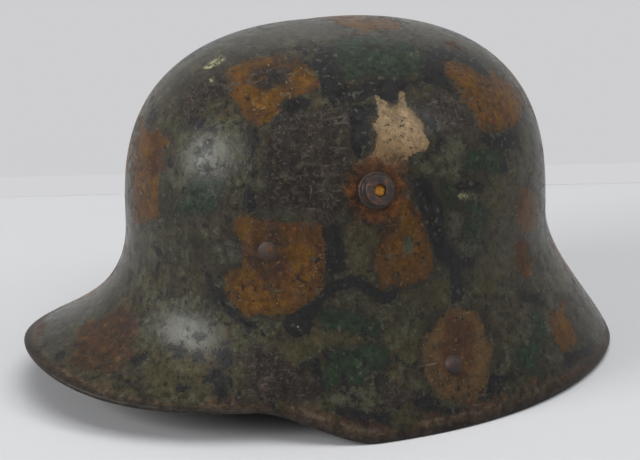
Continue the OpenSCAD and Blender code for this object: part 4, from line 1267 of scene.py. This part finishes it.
class Painter:
    """Finds how deep each point of a mesh lies inside each paint, in mm. The outlines fade out where the surface turns
    away from the camera. Turned half round they cover the far side, and round patches cover the rest."""
    NONE, FADE = -30.0, 70.0
    GRAZING, FAR_SIDE, UNSEEN = 0.04, 0.1, 0.16
    WOBBLE, WAVES = 0.007, 95

    def __init__(self, mesh, law, scene):
        self.law = law
        self.places, self.normals = points_of(mesh), points_of(mesh, "normal")
        self.camera = scene.camera.matrix_world
        self.focal = scene.helmet_stage.focal / SENSOR * PICTURE[0]
        self.front, self.back = self.seen(0), self.seen(math.pi)

    def seen(self, turn):
        """Pixels of the points, millimetres to the pixel there, and how far each faces the camera."""
        spin = np.array(Matrix.Rotation(turn, 3, "Z"))
        places, normals = self.places @ spin.T, self.normals @ spin.T
        eye = np.array(self.camera.translation)
        local = (places - eye) @ np.array(self.camera.to_3x3())
        depth = -local[:, 2]
        pixels = np.stack([PICTURE[0] / 2 + self.focal * local[:, 0] / depth,
                           PICTURE[1] / 2 - self.focal * local[:, 1] / depth], 1)
        ways = eye - places
        facing = np.sum(normals * ways, axis=1) / np.linalg.norm(ways, axis=1)
        return pixels, depth / self.focal / MM, facing

    def depths(self, paint):
        deepest = np.full(len(self.places), self.NONE)
        seen_less = self.FAR_SIDE - self.front[2]
        for (pixels, scale, facing), limit in ((self.front, np.inf), (self.back, seen_less)):
            fade = np.minimum(facing - self.GRAZING, limit) * self.FADE
            for outline in OUTLINES[paint].values():
                deepest = np.maximum(deepest, np.minimum(polygon_depth(pixels, outline) * scale, fade))
        wobble = self.places + self.WOBBLE * np.sin(self.places[:, [1, 2, 0]] * self.WAVES + (0.4, 1.9, 3.1))
        for kind, angle, height, radius in ROUND_PATCHES:
            if kind == paint:
                a = math.radians(angle)
                centre = self.law.point(a, self.law.at_height(a, height * MM))
                away = np.linalg.norm(wobble - centre, axis=1) / MM
                deepest = np.maximum(deepest, np.minimum(radius - away, (self.UNSEEN - self.front[2]) * self.FADE))
        return deepest


def near_seats(places, law, rows):
    """How deep each point lies inside rings round fittings, in mm; a row is (angles, height, reach)."""
    deepest = np.full(len(places), Painter.NONE)
    for angles, height, reach in rows:
        for angle in {a % TURN for one in angles for a in (one, -one)}:
            seat = np.array(law.seat(angle, height).to_translation())
            deepest = np.maximum(deepest, (reach - np.linalg.norm(places - seat, axis=1)) / MM)
    return deepest


def keep_attribute(mesh, name, values):
    field = mesh.attributes.new(name, "FLOAT", "POINT")
    field.data.foreach_set("value", np.ascontiguousarray(values, np.float32))


def shell_paint(colours):
    """Coats of hand-laid paint over browned steel, worn through, chipped, scratched and rusted; with painted
    highlights and shade.
    """
    finish = Finish("shell_paint")
    mix, noise, attribute = finish.mix, finish.noise, finish.attribute
    broad = noise(16.0, 3.0, 0.55)
    patchy = noise(60.0, 4.0, 0.6)
    close = noise(260.0, 5.0, 0.65)
    grain = noise(1200.0, 3.0, 0.6)
    blots = noise(95.0, 2.5, 0.5, distortion=0.6)
    brushed = noise(1.0, 3.0, 0.6, finish.stretched((0, 0, 0), (190, 190, 26)))
    scraped = noise(1.0, 2.0, 0.5, finish.stretched((0.5, 0.3, 0.7), (30, 800, 600)))
    crossed = noise(1.0, 2.0, 0.5, finish.stretched((-0.7, 0.5, -0.4), (700, 35, 700)))
    worn = noise(110.0, 6.0, 0.72)
    wide, fine = patchy - 0.5, close - 0.5
    ragged = wide * 10 + fine * 8 + (grain - 0.5)
    mottle = between(patchy * 0.4 + close * 0.5 + grain * 0.1, 0.44, 0.56)
    flecks = between(close * 0.6 + grain * 0.4, 0.46, 0.6)
    soot = (0.011, 0.0095, 0.008)

    def cover(name, soft=0.3, wander=1.0):
        return between(attribute(name) + ragged * wander, -soft, soft)

    def border(name, reach):
        """1 on the edge of a patch, 0 further from it than reach, in mm."""
        return clip(1 - size_of(attribute(name) + ragged) / reach)

    def tint(colour, spread, light=(0.15, 0.13, 0.09)):
        """One paint, mottled darker and lighter."""
        paler = tuple(c + (w - c) * spread * 0.4 for c, w in zip(colour, light))
        mottled = mix(mottle, dimmed(colour, 1 - spread), colour)
        return mix(between(brushed * 0.7 + grain * 0.3, 0.5, 0.66) * 0.6, mottled, paler)

    def lay(amount, colour):
        """Lays one more coat on the shade."""
        nonlocal shade
        shade = mix(amount, shade, colour)

    shade = mix(between(broad, 0.42, 0.58), tint(colours.field, 0.4), tint(colours.olive, 0.4))
    lay(between(blots, 0.56, 0.575) * 0.7, tint(colours.island, 0.35))
    lay(between(blots, 0.44, 0.425) * 0.55, tint(colours.bare, 0.4))
    lay(cover("olive", 1.0), tint(colours.olive, 0.3))
    island = tint(colours.island, 0.3)
    # Grey-green islands of the first coat, and the painted highlights on the brow and on the visor's flare
    lay(cover("island", 0.6), island)
    green = cover("green")
    lay(green, tint(colours.green, 0.4, (0.06, 0.08, 0.055)))
    black = larger(cover("black"), between(worn + (broad - 0.5) * 0.3, 0.6, 0.612) * between(broad, 0.44, 0.54))
    lay(black, tint(colours.black, 0.45, (0.035, 0.035, 0.038)))
    # Ochre, its bleached patch above the lug, and what has come off it
    tan = cover("tan")
    ochre = larger(cover("ochre"), tan)
    ochre_coat = mix(between(patchy * 0.6 + worn * 0.4, 0.46, 0.52) * 0.5,
                     tint(colours.ochre, 0.35, (0.2, 0.105, 0.026)), tint(colours.rust, 0.3))
    faded = between(attribute("strap_veil"), 0.0, 8.0)
    ochre_coat = mix(faded * 0.6, ochre_coat, (0.096, 0.064, 0.033))
    warm = between(attribute("lug_ring") + fine * 10, -19.0, -3.0)
    tan_coat = mix(between(broad * 0.3 + close * 0.7, 0.36, 0.46), (0.17, 0.11, 0.055),
                   tint(colours.tan, 0.25, (0.4, 0.33, 0.23)))
    tan_coat = mix(warm * 0.65, tan_coat, (0.14, 0.075, 0.03))
    lay(ochre, mix(tan, ochre_coat, tan_coat))
    lay(cover("island", 0.4, 0.5) * ochre, island)
    lost = between(noise(170.0, 4.0, 0.6), 0.61, 0.625) * between(patchy, 0.46, 0.5)
    lay(lost * ochre * (1 - tan) * 0.8, island)
    soaked = between(attribute("fitting_rust") + wide * 34 + fine * 16, -9.0, -5.0) * between(worn, 0.42, 0.5)
    lay(soaked * (1 - faded * 0.7) * 0.7, tint((0.03, 0.018, 0.011), 0.4, (0.1, 0.05, 0.02)))
    # Worn edges of the patches, grime and flaked paint
    chipped = larger(larger(border("ochre", 5.0), border("black", 3.0)),
                     larger(border("green", 3.0), border("tan", 4.0)))
    torn = larger(chipped * between(close * 0.8 + grain * 0.2, 0.5, 0.53),
                  border("island", 1.3) * between(worn, 0.47, 0.49) * 0.7)
    lay(torn * 0.85, soot)
    grime = between(worn + (broad - 0.5) * 0.4, 0.55, 0.58)
    lay(grime * (0.2 + flecks * 0.4), soot)
    lifted = noise(300.0, 3.0, 0.6)
    lay(between(lifted, 0.39, 0.38) * between(blots, 0.44, 0.5) * 0.45, (0.1, 0.092, 0.066))
    lay(between(lifted, 0.61, 0.62) * between(patchy, 0.45, 0.5) * 0.85, soot)
    # Steel scraped bare
    hatch = larger(between(scraped, 0.58, 0.66), between(crossed, 0.59, 0.67))
    steel = mix(between(worn, 0.46, 0.5) * 0.7, tint(colours.bare, 0.4), (0.016, 0.014, 0.0125))
    bared = cover("scuffed", 2.5, 1.4) * between(worn * 0.5 + patchy * 0.5, 0.36, 0.44)
    lay(bared, mix(hatch * 0.5, steel, (0.09, 0.074, 0.06)))
    # Rust: round the fittings, in the rusty patches, along the edge and in freckles
    edge = attribute("from_edge")
    under_fittings = between(attribute("fitting_rust") + fine * 6 + wide * 4, -2.4, 2.0)
    fresh = hump(between(attribute("lug_ring") + fine * 5, -3.5, 6.5)) * between(close * 0.6 + patchy * 0.4, 0.42, 0.6)
    rusty = cover("rusty", 1.5, 1.2) * (0.5 + between(close * 0.7 + patchy * 0.3, 0.42, 0.54) * 0.35)
    rim_rust = between(8 - edge + wide * 26 + fine * 14, 0.0, 4.0)
    freckles = between(noise(420.0, 4.0, 0.7), 0.63, 0.68) * between(patchy, 0.42, 0.56)
    rust = larger(larger(under_fittings, rusty), larger(rim_rust * 0.6, freckles * 0.7))
    lay(rust * 0.85, mix(between(grain * 0.3 + close * 0.7, 0.55, 0.63) * 0.25, tint(colours.rust, 0.6),
                         colours.bright_rust))
    lay(fresh * 0.35, colours.bright_rust)
    lay(cover("rusty", 3.0) * between(patchy * 0.5 + worn * 0.5, 0.46, 0.5) * 0.5, (0.026, 0.016, 0.011))
    # The rolled edge is rubbed dark, with a pale line a few mm above it
    rubbed_rim = between(2.4 - edge + fine * 3, -0.4, 0.6)
    lay(rubbed_rim * 0.9, tint(colours.bare, 0.6, (0.035, 0.027, 0.023)))
    pale_line = hump(between(edge + wide * 4, 3.0, 7.0)) * between(patchy * 0.5 + close * 0.5, 0.47, 0.56)
    lay(pale_line * 0.22, colours.pale)
    # Small marks over everything
    chips = finish.specks(300.0, 0.3, 0.24) * between(worn, 0.48, 0.54) * between(blots, 0.45, 0.52)
    lay(chips * 0.85, soot)
    pits = finish.specks(620.0, 0.09, 0.26) * between(patchy, 0.48, 0.58)
    lay(pits * 0.7, soot)
    lay(finish.specks(150.0, 0.05, 0.1) * between(close, 0.48, 0.58) * 0.8, (0.26, 0.24, 0.19))
    lay(finish.specks(330.0, 0.1, 0.22) * between(blots, 0.52, 0.56) * 0.7, (0.11, 0.04, 0.016))
    # Pale flecks, among them a painted highlight, the glint on a chip
    lay(cover("pale", 0.5, 0.35) * between(close * 0.5 + grain * 0.5, 0.44, 0.54) * 0.8, (0.33, 0.32, 0.17))
    cream = larger(between(crossed, 0.67, 0.69), between(scraped, 0.665, 0.685)) * between(worn, 0.5, 0.56)
    lay(cream * ochre * 0.45, (0.3, 0.2, 0.08))
    scratches = larger(between(scraped, 0.69, 0.72), between(crossed, 0.7, 0.73)) * between(patchy, 0.42, 0.6)
    lay(scratches * 0.45, (0.13, 0.11, 0.08))
    # The inside: brown, bare in places
    lay(attribute("inside"), mix(between(patchy * 0.7 + close * 0.3, 0.42, 0.6), (0.028, 0.026, 0.02),
                                 (0.06, 0.036, 0.02)))
    weather = 0.62 + between(close * 0.55 + grain * 0.45, 0.36, 0.62) * 0.7
    # Painted shade: the colour is up to a fifth darker within about 30 mm of the edge
    shade_near_edge = between(30 - edge + wide * 26, 0.0, 18.0)
    shade = mix(1.0, shade, weather * (1 - shade_near_edge * 0.2), "MULTIPLY")
    rough = 0.3 + fine * 0.5 + rust * 0.25 + ochre * 0.06 + grime * 0.08
    height = ((green + ochre + black * 0.5) * 0.05 - torn * 0.05 - chips * 0.06 - pits * 0.05 - rust * 0.05
              + close * 0.07 + rust * close * 0.12 + grain * 0.015 + brushed * 0.03 - scratches * 0.03
              + bared * hatch * 0.03)
    return finish.shade(shade, rough, bared * 0.25 + rubbed_rim * 0.15, height, Specular_IOR_Level=0.25)


# Operators

class HELMET_OT_shell(bpy.types.Operator):
    """Draws the steel shell and paints it."""
    bl_idname = "helmet.shell"
    bl_label = "Shell"
    COLUMNS, OUTER_ROWS, ROLL_ROWS, INNER_ROWS = 384, 150, 10, 50
    SHANK_GAP = 0.1 * MM
    LUG_HALO, PIN_HALO, RIVET_HALO, VEIL = 4.8 * MM, 1.2 * MM, 1.0 * MM, 34 * MM

    def execute(self, context):
        size = context.scene.helmet_shell
        material = shell_paint(context.scene.helmet_paint)
        shell = shell_recipe(size, self.COLUMNS, self.OUTER_ROWS, self.ROLL_ROWS, self.INNER_ROWS,
                             material).grow("shell_steel")
        fittings = context.scene.helmet_fittings
        pierce(shell.data, seats_at(shell_law(), (fittings.lug_angle, TURN - fittings.lug_angle), fittings.lug_z),
               fittings.shank_d / 2 + self.SHANK_GAP, both_faces=True)
        self.paint(context.scene, shell.data)
        place_piece(shell, "helmet", "shell_paint", "shell")
        return {"FINISHED"}

    def paint(self, scene, mesh):
        """Keeps on the mesh how deep each point lies in each paint, in the fittings' halos and above the edge."""
        law = shell_law()
        painter = Painter(mesh, law, scene)
        for paint in OUTLINES:
            keep_attribute(mesh, paint, painter.depths(paint))
        size = scene.helmet_fittings
        lugs = ((size.lug_angle,), size.lug_z, size.lug_base_d / 2 + self.LUG_HALO)
        heads = (((size.pin_angle, math.pi), size.pin_z, size.pin_head_d / 2 + self.PIN_HALO),
                 ((size.strap_angle,), size.strap_z, size.strap_rivet_d / 2 + self.RIVET_HALO))
        faded = ((size.strap_angle,), size.strap_z, self.VEIL)
        for name, rows in (("lug_ring", (lugs,)), ("fitting_rust", (lugs, *heads)), ("strap_veil", (faded,))):
            keep_attribute(mesh, name, near_seats(painter.places, law, rows))
        down = np.zeros(len(mesh.vertices))
        mesh.attributes["down"].data.foreach_get("value", down)
        a = np.arctan2(painter.places[:, 0], law.size.rim_y - painter.places[:, 1]) % TURN
        keep_attribute(mesh, "from_edge", np.maximum(2 - down, 0) * 3 * law.handle(a) / MM)


class HELMET_OT_lugs(bpy.types.Operator):
    """Turns the two stepped vent lugs and clinches them in the shell."""
    bl_idname = "helmet.lugs"
    bl_label = "Vent lugs"

    def execute(self, context):
        size = context.scene.helmet_fittings
        law = shell_law()
        angles = (size.lug_angle, TURN - size.lug_angle)
        material = ringed_steel("lug_steel", seats_at(law, angles, size.lug_z), (0.052, 0.037, 0.032),
                                [(6.9, 8.1, (0.2, 0.085, 0.02), 0.25), (8.4, 9.6, (0.1, 0.085, 0.08), 0.1),
                                 (10.2, 11.4, (0.09, 0.08, 0.082), 0.2)], 0.2, 0.46, 0.2)
        base, tip, shank, collar = (d / 2 for d in (size.lug_base_d, size.lug_tip_d, size.shank_d, size.collar_d))
        hole, tube = size.vent_d / 2, size.tube_d / 2
        seat, bevel = -0.45 * MM, 0.7 * MM
        wall, thick = -1.35 * MM, 1.2 * MM
        lip, fillet, mouth, step = 0.3 * MM, 0.4 * MM, 0.5 * MM, 0.6 * MM
        top = size.lug_base_h + size.lug_tip_h
        profile = ([(tube, wall - thick), (collar - lip, wall - thick)]
                   + arc((collar - lip, wall - thick + lip), lip, -90, 0, 4)
                   + arc((collar - lip, wall - lip), lip, 0, 90, 4)
                   + [(shank, wall), (shank, seat), (base - 0.2 * MM, seat)]
                   + arc((base - bevel, size.lug_base_h - bevel), bevel, 0, 90, 6)
                   + arc((tip + fillet, size.lug_base_h + fillet), fillet, 270, 180, 4)
                   + arc((tip - bevel, top - bevel), bevel, 0, 90, 6)
                   + arc((hole + mouth, top - mouth), mouth, 90, 180, 5)
                   + [(hole, step), (tube, step)])
        for side, angle in zip(("left", "right"), angles):
            mesh = lathe("vent_lug_steel_" + side, profile, 96, law.seat(angle, size.lug_z), closed=True)
            mesh.materials.append(material)
            place_piece(link(mesh.name, mesh), "helmet", "lug_steel", "vent_lug_" + side)
        self.wad(law, size, top - 1.3 * MM)
        return {"FINISHED"}

    @staticmethod
    def wad(law, size, height):
        """The wad of ochre cloth that stops the left lug's air hole."""
        radius = size.vent_d / 2 - 0.06 * MM
        bulge = [(radius * math.sin(q), height - MM * (1 - math.cos(q))) for q in
                 (i * math.pi / 16 for i in range(1, 9))]
        profile = [(0, height)] + bulge + [(radius, height - 2.6 * MM), (radius * 0.8, height - 3 * MM),
                                           (0, height - 3.1 * MM)]
        mesh = lathe("vent_wad_left", profile, 64, law.seat(size.lug_angle, size.lug_z))
        finish = Finish("ochre_wad")
        threads = finish.noise(900.0, 4.0, 0.6)
        lumps = finish.noise(330.0, 4.0, 0.6)
        shade = finish.mix(between(lumps, 0.4, 0.6), (0.4, 0.16, 0.02), (0.62, 0.29, 0.05))
        shade = finish.mix(between(threads, 0.55, 0.65) * 0.5, shade, (0.2, 0.08, 0.015))
        mesh.materials.append(finish.shade(shade, 0.7, 0.0, threads * 0.2 + lumps * 0.5))
        place_piece(link(mesh.name, mesh), "helmet", "cushion_cloth")


class HELMET_OT_rivets(bpy.types.Operator):
    """Sets the strap rivets and the pads' small rivets."""
    bl_idname = "helmet.rivets"
    bl_label = "Rivets"

    def execute(self, context):
        size = context.scene.helmet_fittings
        law = shell_law()
        angles = (size.strap_angle, TURN - size.strap_angle)
        rivet_steel = ringed_steel("strap_rivet_steel", seats_at(law, angles, size.strap_z), (0.05, 0.031, 0.026),
                                   [(0, 3.1, (0.056, 0.042, 0.038), 0.5)], 0.2, 0.6, 0.05)
        strap_head = self.head(size.strap_rivet_d / 2, size.strap_rivet_h, 2.5 * MM, -0.35 * MM, 2.6 * MM)
        for side, angle in zip(("left", "right"), angles):
            head = lathe("strap_rivet_head", strap_head, 72)
            piece = set_out("strap_rivet_steel_" + side, head, [law.seat(angle, size.strap_z)], rivet_steel, 3)
            place_piece(piece, "helmet", "strap_rivet_steel", "strap_rivet_" + side)
        shank_and_dome = [(1.2, -0.25), (1.2, -2.4), (2.4, -2.4), (2.7, -2.7), (2.3, -3.3), (1.3, -3.7), (0, -3.8)]
        small = lathe("pad_rivet_head", [(0, 0.45 * MM), (1.6 * MM, 0.42 * MM)]
                      + arc((2.35 * MM, 0.1 * MM), 0.35 * MM, 90, -90, 6)
                      + [(radius * MM, height * MM) for radius, height in shank_and_dome], 32)
        depth = Matrix.Translation((0, 0, -2.6 * MM))
        seats = [law.seat(a % TURN, Pad.RIVET_Z) @ depth for pad in pads_of(law) for a in pad.rivet_angles()]
        piece = set_out("pad_rivet_steel", small, seats, browned_steel("rivet_steel", wear=0.7), 5, 0.02)
        place_piece(piece, "helmet", "rivet_steel", "pad_rivets")
        return {"FINISHED"}

    @staticmethod
    def head(radius, height, shank, seat, depth):
        """Profile of a domed rivet from the top of its head to the end of its shank."""
        reach = (radius ** 2 + height ** 2) / (2 * height)
        lip = 0.25 * MM
        half = math.degrees(math.asin(min(1, (radius - lip * 0.4) / reach)))
        return (arc((0, height - reach), reach, 90, 90 - half, 16)
                + [(radius, lip), (radius, seat), (shank, seat), (shank, -depth), (0, -depth)])


class HELMET_OT_liner(bpy.types.Operator):
    """Cuts the forked leather pads and sews them."""
    bl_idname = "helmet.liner"
    bl_label = "Leather pads"

    def execute(self, context):
        law = shell_law()
        material = old_leather("pad_leather", (0.085, 0.042, 0.019), (0.035, 0.018, 0.009), (0.2, 0.125, 0.07))
        for pad in pads_of(law):
            sheet = pad.leather()
            pierce(sheet, pad.eyelets(), 2.3 * MM)
            piece = thicken(link(pad.name + "_leather", sheet), Pad.THICKNESS, 0.4 * MM)
            piece.data.materials.append(material)
            smooth_shaded(piece)
            place_piece(piece, "helmet", "pad_leather", pad.name)
            lines = []
            for side in (-1, 1):
                points, ways = pad.seam(side)
                lines.append((lie_on(piece, points, 0.05 * MM), ways))
            sew(pad.name + "_stitches", "helmet", "pad_leather", lines, 7)
        return {"FINISHED"}


class HELMET_OT_cushions(bpy.types.Operator):
    """Fills and sews the cushions behind the pads."""
    bl_idname = "helmet.cushions"
    bl_label = "Cushions"
    MESH, PRESSURE, SWELL = 2.6 * MM, 4, 1.2 * MM

    def execute(self, context):
        law = shell_law()
        material = coarse_linen("cushion_linen")
        for pad in pads_of(law):
            name = pad.name.replace("pad", "cushion")
            piece = swell(link(name + "_linen", cushion_mesh(pad)), self.MESH, self.PRESSURE, self.SWELL)
            piece.data.materials.clear()
            piece.data.materials.append(material)
            place_piece(piece, "helmet", "cushion_cloth", name)
            points, ways = cushion_seam(pad)
            points = lie_on(piece, points, 0.05 * MM)
            sew(name + "_stitches", "helmet", "cushion_cloth", [(points, ways)], 11, 5 * MM, 0.45 * MM)
        return {"FINISHED"}


class HELMET_OT_strap(bpy.types.Operator):
    """Cuts the chin strap and sews its turned-back ends."""
    bl_idname = "helmet.strap"
    bl_label = "Chin strap"

    def execute(self, context):
        mesh = Strap().mesh()
        mesh.materials.append(old_leather("strap_leather", (0.052, 0.026, 0.013), (0.02, 0.011, 0.007),
                                          (0.13, 0.08, 0.045)))
        place_piece(link("chin_strap_leather", mesh), "strap", "strap_leather", "chin_strap")
        sew("strap_stitches", "strap", "strap_leather", Strap().seams(), 13, 3.8 * MM, 0.4 * MM)
        return {"FINISHED"}


class HELMET_OT_hardware(bpy.types.Operator):
    """Finishes the steel parts that keep their CAD shape."""
    bl_idname = "helmet.hardware"
    bl_label = "Band, posts and buckles"

    def execute(self, context):
        size = context.scene.helmet_fittings
        pins = seats_at(shell_law(), (size.pin_angle, math.pi, TURN - size.pin_angle), size.pin_z)
        finishes = {
            "liner_band": browned_steel("band_steel", wear=0.6, rusted=0.6),
            "pin_washers": browned_steel("washer_steel", wear=0.6, rusted=0.5),
            "liner_pins": ringed_steel("pin_steel", pins, (0.066, 0.034, 0.019),
                                       [(3.4, 5.4, (0.035, 0.026, 0.022), 0.6)], 0.3, 0.66, 0.0),
            "band_rivets": browned_steel("band_rivet_steel", wear=0.7, rusted=0.4),
            "strap_post_left strap_post_right": browned_steel("post_steel", wear=0.4),
            "strap_fitting_left strap_fitting_right": browned_steel("fitting_steel", wear=0.6),
            "strap_buckle_left strap_buckle_right": browned_steel("buckle_steel", wear=0.8, rusted=0.3),
        }
        for nodes, material in finishes.items():
            for node in nodes.split():
                for slot in frame["nodes"][node].material_slots:
                    slot.material = material
        return {"FINISHED"}


class HELMET_OT_stage(bpy.types.Operator):
    """Sets up the table, the light and the camera."""
    bl_idname = "helmet.stage"
    bl_label = "Stage"
    TABLE_REACH, TABLE_HALF, WALL_HALF = 2.5, 3, 2.4
    WALL_LOW, WALL_HIGH = Vector((0, 0, -2.5)), Vector((0, 0, 1.6))

    def execute(self, context):
        stage = context.scene.helmet_stage
        camera = link("camera", bpy.data.cameras.new("camera"))
        camera.data.lens = stage.focal
        camera.data.sensor_width = SENSOR
        turn = (Matrix.Rotation(stage.azimuth, 4, "Z") @ Matrix.Rotation(math.pi / 2 - stage.elevation, 4, "X")
                @ Matrix.Rotation(-stage.camera_roll, 4, "Z"))
        back = turn.col[2].xyz
        camera.matrix_world = Matrix.Translation(Vector(stage.target) + back * stage.camera_distance) @ turn
        context.scene.camera = camera
        context.scene.view_settings.view_transform = "Standard"
        self.table(stage, back)
        self.lights(context.scene, stage)
        return {"FINISHED"}

    def table(self, stage, back):
        """A level table, a low ledge along its far edge, and the light room behind it."""
        flat = Vector((back.x, back.y, 0)).normalized()
        side = Vector((-flat.y, flat.x, 0))
        near, far, behind = flat * self.TABLE_REACH, flat * -stage.far_edge, flat * -stage.wall_distance
        wide, half = side * self.TABLE_HALF, side * self.WALL_HALF
        rise = Vector((0, 0, stage.ledge))
        finish = Finish("table")
        speck = finish.noise(90.0, 3.0, 0.6)
        shade = finish.mix(between(speck, 0.3, 0.7) * 0.04, stage.table, dimmed(stage.table, 0.8))
        table = board("table", (near - wide, near + wide, far + wide, far - wide),
                      finish.shade(shade, 0.7, Specular_IOR_Level=0.25))
        ledge = board("ledge", (far + wide, far - wide, far - wide + rise, far + wide + rise),
                      backdrop_finish("ledge", dimmed(stage.wall, 1.05), stage.fill))
        wall = board("wall", (behind + half + self.WALL_LOW, behind - half + self.WALL_LOW,
                              behind - half + self.WALL_HIGH, behind + half + self.WALL_HIGH),
                     backdrop_finish("wall", tuple(stage.wall), stage.fill))

    @staticmethod
    def lights(scene, stage):
        """The room's weak light, and three lamps given by place, aim, size and power."""
        world = bpy.data.worlds.new("room")
        world.use_nodes = True
        room = Graph(world.node_tree)
        colour = room.mix(seen_directly(room), (stage.fill,) * 3, tuple(stage.wall))
        room.tree.links.new(colour.socket, room.tree.nodes["Background"].inputs["Color"])
        scene.world = world
        for name, place, aim, size, power in (("overhead", (0.4, 0.4, 3), (0, 0, 0), 2.6, stage.overhead),
                                              ("window", (0.22, -2.4, 1.24), (0, 0, 0.09), 1.1, stage.window),
                                              ("back_window", (1.1, 1.32, 1.9), (0, 0, 0.1), 0.6, stage.back_window)):
            lamp = bpy.data.lights.new(name, "AREA")
            lamp.size = size
            lamp.energy = power
            made = link(name, lamp)
            made.visible_glossy = name != "overhead"
            made.matrix_world = (Matrix.Translation(place)
                                 @ (Vector(place) - Vector(aim)).to_track_quat("Z", "Y").to_matrix().to_4x4())


def board(name, corners, material):
    """One flat face."""
    mesh = bpy.data.meshes.new(name)
    mesh.from_pydata(corners, [], [(0, 1, 2, 3)])
    mesh.materials.append(material)
    return link(name, mesh)


def seen_directly(graph):
    """1 where a camera ray, a reflection or a ray through glass meets the surface, otherwise 0."""
    path = [graph.add("ShaderNodeLightPath", output=o) for o in ("Is Camera Ray", "Is Glossy Ray",
                                                                 "Is Transmission Ray")]
    return clip(path[0] + path[1] + path[2])


def backdrop_finish(name, colour, fill):
    """A board that shows its own colour, and otherwise shines as weakly as the room."""
    finish = Finish(name)
    shade = finish.mix(seen_directly(finish), (fill, fill, fill), colour)
    glow = finish.add("ShaderNodeEmission", None, {"Color": shade, "Strength": 1.0})
    sink = finish.tree.nodes.new("ShaderNodeOutputMaterial")
    finish.tree.links.new(glow.socket, sink.inputs["Surface"])
    return finish.material


class HELMET_PT_panel(bpy.types.Panel):
    """Lists the helmet's pieces."""
    bl_idname = "HELMET_PT_panel"
    bl_label = "Steel helmet"
    bl_space_type = "VIEW_3D"
    bl_region_type = "UI"
    bl_category = "Helmet"

    def draw(self, context):
        for operator in OPERATORS:
            self.layout.operator(operator.bl_idname)
        for holder in GROUPS:
            column = self.layout.column(heading=holder)
            group = getattr(context.scene, holder)
            for key in group.__annotations__:
                column.prop(group, key)


OPERATORS = (HELMET_OT_stage, HELMET_OT_shell, HELMET_OT_lugs, HELMET_OT_rivets, HELMET_OT_liner,
             HELMET_OT_cushions, HELMET_OT_strap, HELMET_OT_hardware)
GROUPS = {"helmet_shell": HELMET_PG_shell, "helmet_fittings": HELMET_PG_fittings, "helmet_paint": HELMET_PG_paint,
          "helmet_stage": HELMET_PG_stage}
CLASSES = (*GROUPS.values(), *OPERATORS, HELMET_PT_panel)


def register():
    for made in CLASSES:
        bpy.utils.register_class(made)
    for holder, group in GROUPS.items():
        setattr(bpy.types.Scene, holder, PointerProperty(type=group))


def unregister():
    for holder in GROUPS:
        delattr(bpy.types.Scene, holder)
    for made in reversed(CLASSES):
        bpy.utils.unregister_class(made)


def main():
    register()
    for operator in OPERATORS:
        family, name = operator.bl_idname.split(".")
        getattr(getattr(bpy.ops, family), name)()
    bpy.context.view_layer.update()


if __name__ == "__main__":
    main()
